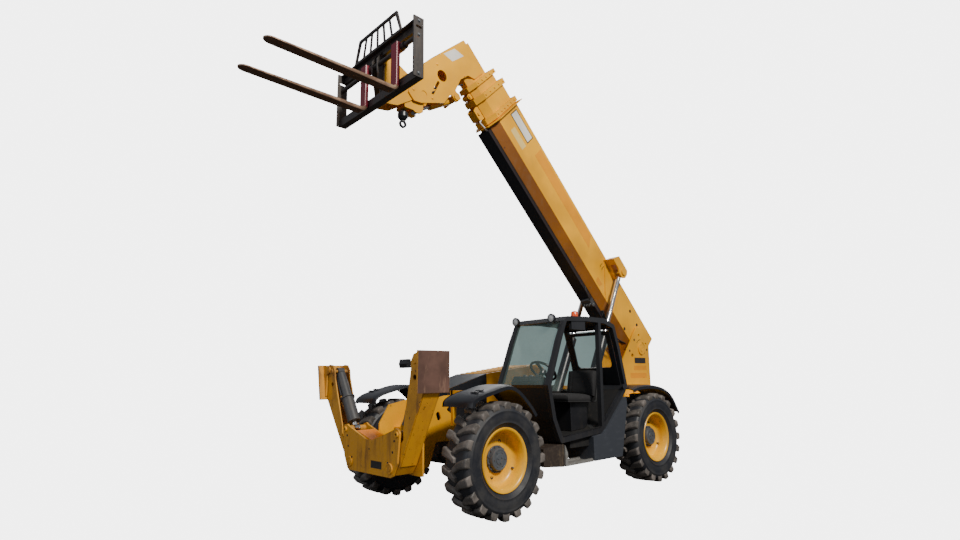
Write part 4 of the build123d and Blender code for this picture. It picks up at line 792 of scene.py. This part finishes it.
# %% Bolts and labels of the other sections
for body, u, half, top, low in (("boom_second", 5325, 204, 494, -60), ("boom_third", 5530, 181, 448, -50)):
    collar = Piece(f"{body}_bolts", body, "yellow")
    for side in (1, -1):
        rows = np.linspace(low, top - 40, 5)
        collar.bolts([boom(u, side * half, v) for v in rows], (0, side, 0), 13, 12)
        collar.bolts([boom(u, side * half * f, top) for f in (0.35, 0.8)], ACROSS, 13, 12)
    collar.done()
nose = Piece("nose_trim", "boom_nose", "bars", "label", "hose", "yellow")
for side in (1, -1):
    nose.plate(side_view(boom, side * 134, (5960, 30), (6120, -60), (6150, -330), (5990, -250)),
               (0, side * LABEL, 0), 1)
    nose.bolts(side_view(boom, side * 134, (5750, -1010), (5990, -1225), (6080, -560), (5720, -180)),
               (0, side, 0), 16, 10, 3)
    nose.tube([boom(u, side * y, v) for u, y, v in ((5640, 108, -300), (5760, 100, -560), (5830, 104, -820),
                                                    (5930, 96, -960))], 14, 2)
worn_edge = side_view(boom, -120, (6147, 215), (6167, -140), (6193, -590))
edge_width = np.array([0, 0.24, 0])
for a, b in zip(worn_edge, worn_edge[1:]):
    nose.plate([a, b, b + edge_width, a + edge_width], ALONG * 2)
nose.done()
print("boom dressed")

# %% [markdown]
# ## The cab
#
# The cab's frame is bent tube, so its edges are round and catch light.  Inside stand a
# padded seat on a box, a console with levers, a steering wheel on a raked column and
# a dash with a hooded panel.  The lamps and the beacon stand on the roof.

# %% Steering wheel, levers, lamps and beacon
SEAT_Y = 672
WHEEL_R = 186
KNOB = [(0, 10), (10, 20), (30, 24), (50, 18), (58, 0)]
DIAL = [(0, 42), (16, 42), (20, 36), (16, 34), (15, 0)]
LAMP_BOWL = [(0, 0), (0, 44), (20, 56), (52, 60.5), (60, 60), (61, 53),
             (52, 50)]
LAMP_LENS = [(50, 52), (56, 40), (59, 20), (60, 0)]
wheel_middle = chassis(325, SEAT_Y, 1621)
column_foot = chassis(500, SEAT_Y, 1420)
column = wheel_middle - column_foot
column /= np.linalg.norm(column)
level = np.array([0, 1.0, 0])
steep = np.cross(column, level)


def round_wheel(angle, radius):
    """A place in the steering wheel's plane: middle + (level cos t + steep sin t) r."""
    return wheel_middle + (level * cos(angle) + steep * sin(angle)) * radius / 1000


cab_fit = Piece("cab_fittings", "chassis", "cab", "dash", "hub", "lens")
rim_turns = np.linspace(0, TURN, 40, endpoint=False)
cab_fit.tube([round_wheel(t, WHEEL_R) for t in rim_turns], 14.5, 0, 12, 1, True)
for t in (0.5, 2.6, 4.7):
    cab_fit.tube([wheel_middle - column * 0.02, round_wheel(t, 180)], 12, 0, 8, 1)
cab_fit.lathe(wheel_middle - column * 0.04, column,
              [(-20, 0), (-20, 34), (30, 44), (45, 38), (50, 0)], 0, 32)
cab_fit.lathe(column_foot, column, [(-50, 50), (60, 44), (140, 30), (235, 28)], 0, 24)
for y, lean in ((345, 30), (385, -10)):
    cab_fit.tube([chassis(180, y, 1292), chassis(185, y, 1380), chassis(190 + lean, y, 1440)], 8, 2, 8)
    cab_fit.lathe(chassis(190 + lean, y, 1430), (0.1, 0, 1), KNOB, 0, 16)
for y in (600, 730):
    cab_fit.plate(side_view(chassis, y, (470, 905), (520, 960), (524, 956), (474, 901)), (0, 70, 0), 2)
for k in range(3):
    cab_fit.lathe(chassis(560, SEAT_Y - 110 + 110 * k, 1533), (-0.75, 0, 1), DIAL, 2, 32)
for y in (305, 956):
    for profile, slot in ((LAMP_BOWL, 0), (LAMP_LENS, 3)):
        cab_fit.lathe(chassis(404, y, 2312), (1, 0, 0), profile, slot, 40)
cab_fit.done("roof_lamps", angle=40)

beacon = Piece("beacon_dome", "chassis", "amber", "cab")
for z, slot, profile in ((2353, 1, [(0, 0), (0, 60), (20, 60), (26, 56), (26, 0)]),
                         (2379, 0, [(0, 53), (60, 53), (64, 50), (88, 49), (104, 40), (112, 20), (113, 0)])):
    beacon.lathe(chassis(-400, 690, z), (0, 0, 1), profile, slot, 40)
beacon.done("beacon")

# %% [markdown]
# ## Seat
#
# The base cushion and the back are crowned pads: a flat box of grid points whose
# surface swells by (1 - |a|^5)(1 - |b|^5), sewn down along two channels and one cross
# seam, w(a) = exp(-((a - c)/0.035)^2), where the cover dips.  The edge of the top is
# carried down to the base through seven rings that bulge by sin(pi t).

# %% Pad the seat
def pad(name, corner, across, along, out, swell):
    """A padded slab from a corner; its width, length and thickness are vectors in millimetres."""
    n, m = 41, 37
    a, b = np.meshgrid(np.linspace(-1, 1, n), np.linspace(-1, 1, m), indexing="ij")
    dome = (1 - np.abs(a) ** 5) * (1 - np.abs(b) ** 5)
    dips = sum(np.exp(-((a - c) / 0.035) ** 2) for c in (-0.55, 0.55))
    dips = dips + np.exp(-((b - 0.35) / 0.03) ** 2) * (np.abs(a) < 0.6)
    crease = 0.03 * np.sin(9 * a + 3 * b) * np.sin(5 * b - 2 * a)
    height = swell / 1000 * (dome * (1 + crease) - 0.22 * np.minimum(dips, 1) * dome)
    edge = 1 - 0.03 * np.abs(a * b) ** 3
    width, length, thick = (np.array(v) / 1000 for v in (across, along, out))
    up = thick / np.linalg.norm(thick)
    base = np.array(corner, float)
    for way, share in ((width, a), (length, b)):
        base = base + way * ((share * edge + 1) / 2)[..., None]
    top = base + thick + up * (height - swell / 1000)[..., None]
    piece = Piece(name, "chassis", "cloth")
    piece.grid(top)
    rim = [(i, 0) for i in range(n)] + [(n - 1, j) for j in range(1, m)]
    rim += [(i, m - 1) for i in range(n - 2, -1, -1)] + [(0, j) for j in range(m - 2, 0, -1)]
    outer = np.array([top[i, j] for i, j in rim])
    lower = np.array([base[i, j] for i, j in rim])
    centre = (outer.mean(0) + lower.mean(0)) / 2
    net = []
    for t in np.linspace(0, 1, 7):
        ring = outer * (1 - t) + lower * t
        pull = ring - centre
        pull -= up * (pull @ up)[:, None]
        net.append(ring + pull * 0.05 * sin(pi * t))
    piece.grid(net, 0, (False, True))
    piece.surface(lower, [list(range(len(lower)))], 0, False)
    obj = piece.done("seat", angle=70)


for name, corner, across, along, out in (
        ("seat_cushion", (-430, SEAT_Y - 235, 1190), (0, 470, 0), (540, 0, 20), (-4, 0, 112)),
        ("seat_back", (-520, SEAT_Y - 225, 1262), (0, 450, 0), (-75, 0, 345), (108, 0, 22))):
    pad(name, chassis(*corner), across, along, out, 30)
shell = Piece("seat_shell", "chassis", "dash", "cab")
shell.plate(side_view(chassis, SEAT_Y - 250, (-470, 1180), (120, 1202), (130, 1216), (-500, 1200),
                      (-585, 1560), (-600, 1555), (-520, 1190)), (0, 500, 0))
shell.plate(side_view(chassis, SEAT_Y - 170, (-380, 872), (-300, 832), (-20, 813), (-20, 1190), (-440, 1180)),
            (0, 340, 0), 1)
shell.done("seat", bevel=0.006)
print("cab fitted")

# %% [markdown]
# ## Hood
#
# The hood is yellow with pressed ribs on top and a black moulded nose that slopes
# down to the front, split from the yellow by a saw-toothed rubber seam.

# %% Black nose of the hood, its seam and the cab's cradle
HOOD_Y = -472
HOOD_ACROSS = (0, -676, 0)
hood_nose = Piece("hood_nose", "chassis", "black", "hub")
slope = [(1052, 1394), (680, 1497), (309, 1600)]
for (x0, z0), (x1, z1) in zip(slope, slope[1:]):
    hood_nose.plate(side_view(chassis, HOOD_Y, (x0, z0 + 1), (x1, z1 + 1), (x1, z1 + 6), (x0, z0 + 6)),
                    HOOD_ACROSS)
for y, thick in ((-470, 3), (-1150, -3)):
    hood_nose.plate(side_view(chassis, y, (1042, 1184), (1073, 1230), (1050, 1394), (309, 1600), (309, 1184)),
                    (0, thick, 0))
hood_nose.plate(side_view(chassis, HOOD_Y, (1076, 1230), (1051, 1396), (1054, 1398), (1079, 1231)),
                HOOD_ACROSS)
for k in range(46):
    x = 1030 - 15.6 * k
    z = 1395 + (1050 - x) * 205 / 741
    hood_nose.plate(side_view(chassis, -470, (x, z + 2), (x - 7, z + 4), (x - 7, z + 9), (x, z + 7)),
                    (0, 8, 0), 1)
hood_nose.done()

# a near-black box over the outrigger that carries the cab: painted shade under the cab
cradle = Piece("cradle_painted_shade", "chassis", "under")
cradle.box((-0.5005, 0.30, 0.6385), (-0.0975, 1.0615, 0.7695))
cradle.done()

# %% [markdown]
# ## The stabilisers
#
# Each leg is two worn plates with a smooth web between them; the web's face is drawn
# again in brighter paint.  The feet are thick plates whose soles are rubbed to a
# mauve-brown rust.  The rams have a flange half-way down and a ring at the bottom.

# %% Webs, soles and rams
STAB_Y, LEG_PIVOT = -20, (420, 585)
LEAN = {"left": 5, "right": -4}
LEG_BACK, LEG_FRONT = 2346, 2579
WEB = [(562, 598), (1032, 1329), (1070, 1640)]
FOOT_X, FOOT_HALF, FOOT_PIN, RAM_PIN = 2462.5, 213, (985, 1715), (915, 1690)
SOLE_TOP, SOLE_BOTTOM = (1122.5, 1781), (1071.5, 1339)
FRAME_PIN = (545, 950)


def posed(side, raised, y, z):
    """A place drawn for a left leg in the middle pose, on a side and with its leg leaned."""
    t = radians(raised)
    dy, dz = y - LEG_PIVOT[0], z - LEG_PIVOT[1]
    return (STAB_Y + side * (LEG_PIVOT[0] + dy * cos(t) - dz * sin(t)),
            LEG_PIVOT[1] + dz * cos(t) + dy * sin(t))


for name, side in (("left", 1), ("right", -1)):
    def at(x, y, z):
        return chassis(x, *posed(side, LEAN[name], y, z))

    leg = Piece(f"leg_web_{name}", f"stabiliser_leg_{name}", "web_yellow", "worn_yellow")
    for start, end in zip(WEB, WEB[1:]):
        dy, dz = np.subtract(end, start) * 2 / np.hypot(*np.subtract(end, start))
        lift = at(0, start[0] + dz, start[1] - dy) - at(0, *start)
        leg.plate(strip(at, LEG_BACK + 18, LEG_FRONT - 18, start, end), 1000 * lift)
    for x, way in ((LEG_FRONT, 1), (LEG_BACK, -1)):
        for pin, r in ((FOOT_PIN, 36), (RAM_PIN, 32)):
            leg.lathe(at(x, *pin), (way, 0, 0), [(0, r), (10, r), (13, r - 4), (13, 12),
                                                 (9, 10), (9, 0)], 1, 32)
    leg.done()

    foot = Piece(f"foot_sole_{name}", f"stabiliser_foot_{name}", "foot")
    rows = []
    for s in np.linspace(0, 1, 13):
        y, z = (top * (1 - s) + bottom * s for top, bottom in zip(SOLE_TOP, SOLE_BOTTOM))
        rows.append([at(x, y + 0.4 * sin(9 * s + x / 70), z)
                     for x in np.linspace(FOOT_X - FOOT_HALF, FOOT_X + FOOT_HALF, 15)])
    foot.grid(rows)
    foot.done()

    ram = Piece(f"ram_bands_{name}", f"stabiliser_barrel_{name}", "grey", "black")
    top = at(FOOT_X, *RAM_PIN)
    bottom = chassis(FOOT_X, STAB_Y + side * FRAME_PIN[0], FRAME_PIN[1])
    down = (bottom - top) / np.linalg.norm(bottom - top)
    reach = 1000 * np.linalg.norm(bottom - top)
    ram.lathe(top, down, [(45, 0), (45, 58), (52, 63.5), (392, 63.5), (393, 88),
                          (398, 93), (410, 93), (414, 88), (415, 79), (reach - 116, 79),
                          (reach - 112, 84), (reach - 94, 84), (reach - 89.5, 78),
                          (reach - 89.5, 36)], 0, 48)
    ram.tube([top + (down * d + np.array([out, 0, 0])) / 1000 for d, out in ((90, 62), (200, 76), (360, 80))],
             10, 1)
    ram.done(angle=30)

# %% Trough and bosses of the stabilisers' frame
FRAME_FACE, BOSS_FACE = 2610, 2622
FORWARD = (1, 0, 0)
LEG_BOSS = [(0, 58), (3, 55), (3, 46), (-4, 43), (-4, 28), (4, 26), (4, 0)]
RAM_BOSS = [(0, 34), (4, 31), (4, 14), (0, 12), (0, 0)]
trough = Piece("stabiliser_trim", "chassis", "orange", "worn_yellow", "black", "badge")
for side in (1, -1):
    trough.plate(strip(chassis, 2342, 2583, (STAB_Y, 857), (STAB_Y + side * 325, 945)), (0, 0, 1.5))
    for (y, z), profile, steps in ((LEG_PIVOT, LEG_BOSS, 40), (FRAME_PIN, RAM_BOSS, 32)):
        trough.lathe(chassis(BOSS_FACE, STAB_Y + side * y, z), FORWARD, profile, 1, steps)
    trough.bolts([chassis(FRAME_FACE, STAB_Y + side * y, z) for y, z in ((470, 760), (500, 880), (380, 640))],
                 FORWARD, 10, 4, 2)
eye = chassis(FRAME_FACE, STAB_Y, 760)
trough.lathe(eye, FORWARD, [(1, 34), (2, 30), (2, 12), (1, 0)], 1, 32)
# a flat black disc in the eye: painted shade in its pin hole
trough.lathe(eye, FORWARD, [(2.5, 11), (2.5, 0)], 2, 24)
trough.plate([chassis(FRAME_FACE, STAB_Y + y, z) for y, z in ((40, 640), (260, 640), (260, 560), (40, 560))],
             (1.2, 0, 0), 3)
trough.done()
print("stabilisers dressed")

# %% [markdown]
# ## The tower
#
# The tower's plates carry a blank black badge, two orange stripes, the pivot's ring
# with its arc grooves and a row of bolts along the bottom edge.

# %% Stripes, badge and bolts of the tower
PIVOT_RING = [(0, 105), (3, 101), (3, 82), (-4, 80), (-4, 52), (6, 50),
              (6, 16), (1, 12), (1, 0)]
tower = Piece("tower_trim", "chassis", "stripe", "badge", "black", "yellow")
for side in (1, -1):
    y = BOOM_Y + side * 237
    out = (0, side, 0)
    for slot, *outline in ((0, (-2600, 1500), (-3120, 1500), (-3130, 1590), (-2600, 1590)),
                           (0, (-2720, 1640), (-3140, 1640), (-3144, 1720), (-2720, 1720)),
                           (1, (-2760, 1760), (-3120, 1760), (-3124, 1860), (-2760, 1860))):
        tower.plate(side_view(chassis, y, *outline), (0, side * 1.5, 0), slot)
    tower.lathe(chassis(PIVOT_X, y + side * 18, PIVOT_Z), out, PIVOT_RING, 3, 48)
    # the arc grooves are black tubes: painted shade in the grooves
    for start, end, r in ((1.9, 3.9, 128), (0.7, 1.5, 170)):
        arc = [(PIVOT_X + r * cos(t), PIVOT_Z + r * sin(t)) for t in np.linspace(start, end, 14)]
        tower.tube(side_view(chassis, y + side, *arc), 5, 2, 8, 2)
    tower.bolts([chassis(-3150 + 72 * k, y, 1235) for k in range(11)], out, 13, 12, 3)
    # three flat black discs: painted shade in holes in the plate
    for place in side_view(chassis, y, (-2790, 2180), (-3195, 2010), (-2620, 1980)):
        tower.lathe(place, out, [(1, 22), (1, 0)], 2, 24)
tower.done()

# %% [markdown]
# ## Forks and carriage
#
# The forks are forged: their blades taper in thickness and width to a rounded tip, and
# the heel is one bend.  The shanks are painted maroon.  The carriage is dark channel
# with a bolted frame, and each fork hangs from the shaft by a collar.

# %% Forge the forks
TILT_X, TILT_Z = 1925.7, 5381.6      # the pin that the carriage tilts about
FORK_X, LOW_Z = TILT_X + 710, TILT_Z - 395
HEEL_R, BLADE = 70, 1480
SECTION = [(-1, -0.75), (-0.955, -1), (0.955, -1), (1, -0.75), (1, 0.75), (0.955, 1), (-0.955, 1), (-1, 0.75)]
SHANK_ROWS = 13
for name, y in (("left", 465), ("right", -250)):
    fork = Piece(f"fork_{name}", "carriage", "steel", "maroon")
    line = [(FORK_X + 25, z) for z in np.linspace(LOW_Z + 655, LOW_Z + 95, 12)]
    for t in np.linspace(0, pi / 2, 8)[1:]:
        line.append((FORK_X + 95 - HEEL_R * cos(t), LOW_Z + 95 - HEEL_R * sin(t)))
    for x in np.append(np.linspace(150, 1550, 22), [1570, 1590, 1605, 1620, 1632, 1641, 1647, 1650]):
        line.append((FORK_X + x, LOW_Z + 25 + 10 * max(0, (x - 170) / BLADE)))
    line = np.array(line)
    blade = np.clip((line[:, 0] - FORK_X - 170) / BLADE, 0, 1)
    thick = 25 - 16 * blade
    tip = np.sqrt(np.maximum(0.02, 1 - (np.maximum(blade - 0.94, 0) / 0.06) ** 2))
    wide = (63.5 + 7 * np.clip(blade * 4, 0, 1)) * tip
    ahead = np.gradient(line, axis=0)
    ahead /= np.linalg.norm(ahead, axis=1)[:, None]
    normal = np.stack([-ahead[:, 1], ahead[:, 0]], -1)
    rows = [[chassis(p[0] + n[0] * h * b, y + w * a, p[1] + n[1] * h * b) for a, b in SECTION]
            for p, n, h, w in zip(line, normal, thick, wide)]
    fork.grid(rows[:SHANK_ROWS + 1], 1, (False, True))
    fork.grid(rows[SHANK_ROWS:], 0, (False, True))
    for row, slot in ((rows[0], 1), (rows[-1], 0)):
        fork.surface(row, [list(range(len(SECTION)))], slot, False)
    eye = chassis(TILT_X + 675, y, TILT_Z + 215)
    for way in (1, -1):
        fork.lathe(eye, (0, way, 0), [(0, 52), (60, 52), (63.5, 49), (63.5, 30.1)], 1, 40)
    fork.plate([eye + np.array([x, -63.5, z]) / 1000 for x, z in ((0, 50), (36, 50), (36, -50), (0, -50))],
               (0, 127, 0), 1)
    fork.done("forks", angle=40)

carriage = Piece("carriage_trim", "carriage", "hub")
for y, way in ((-965, -1), (865, 1)):
    carriage.bolts([chassis(TILT_X + 675, y, TILT_Z + z) for z in (-290, 215, 400)], (0, way, 0), 18, 14)
carriage.bolts([chassis(TILT_X + 640, y, TILT_Z - 280) for y in (-620, -60, 150, 660)], (1, 0, 0), 14, 10)
carriage.done()
print("forks forged")

# %% [markdown]
# ## The ground
#
# The machine stands on grey ground, which shades its underside and shows in its
# reflections.  The ground is hidden from the camera itself, which sees the machine in
# the white room, as in a catalogue.

# %% Lay the ground
FLOOR = 60
floor_mesh = bpy.data.meshes.new("floor")
floor_mesh.from_pydata([(FLOOR * a, FLOOR * b, 0) for a, b in ((-1, -1), (1, -1), (1, 1), (-1, 1))], [],
                       [(0, 1, 2, 3)])
floor = bpy.data.objects.new("floor", floor_mesh)
bpy.context.scene.collection.objects.link(floor)
ground = Finish("grey_ground", Roughness=0.9)
ground.set(Base_Color=ground.mix(ground.noise(0.6, 3), (0.060, 0.056, 0.052), (0.075, 0.070, 0.065)))
floor_mesh.materials.append(ground.material)
floor.visible_camera = False
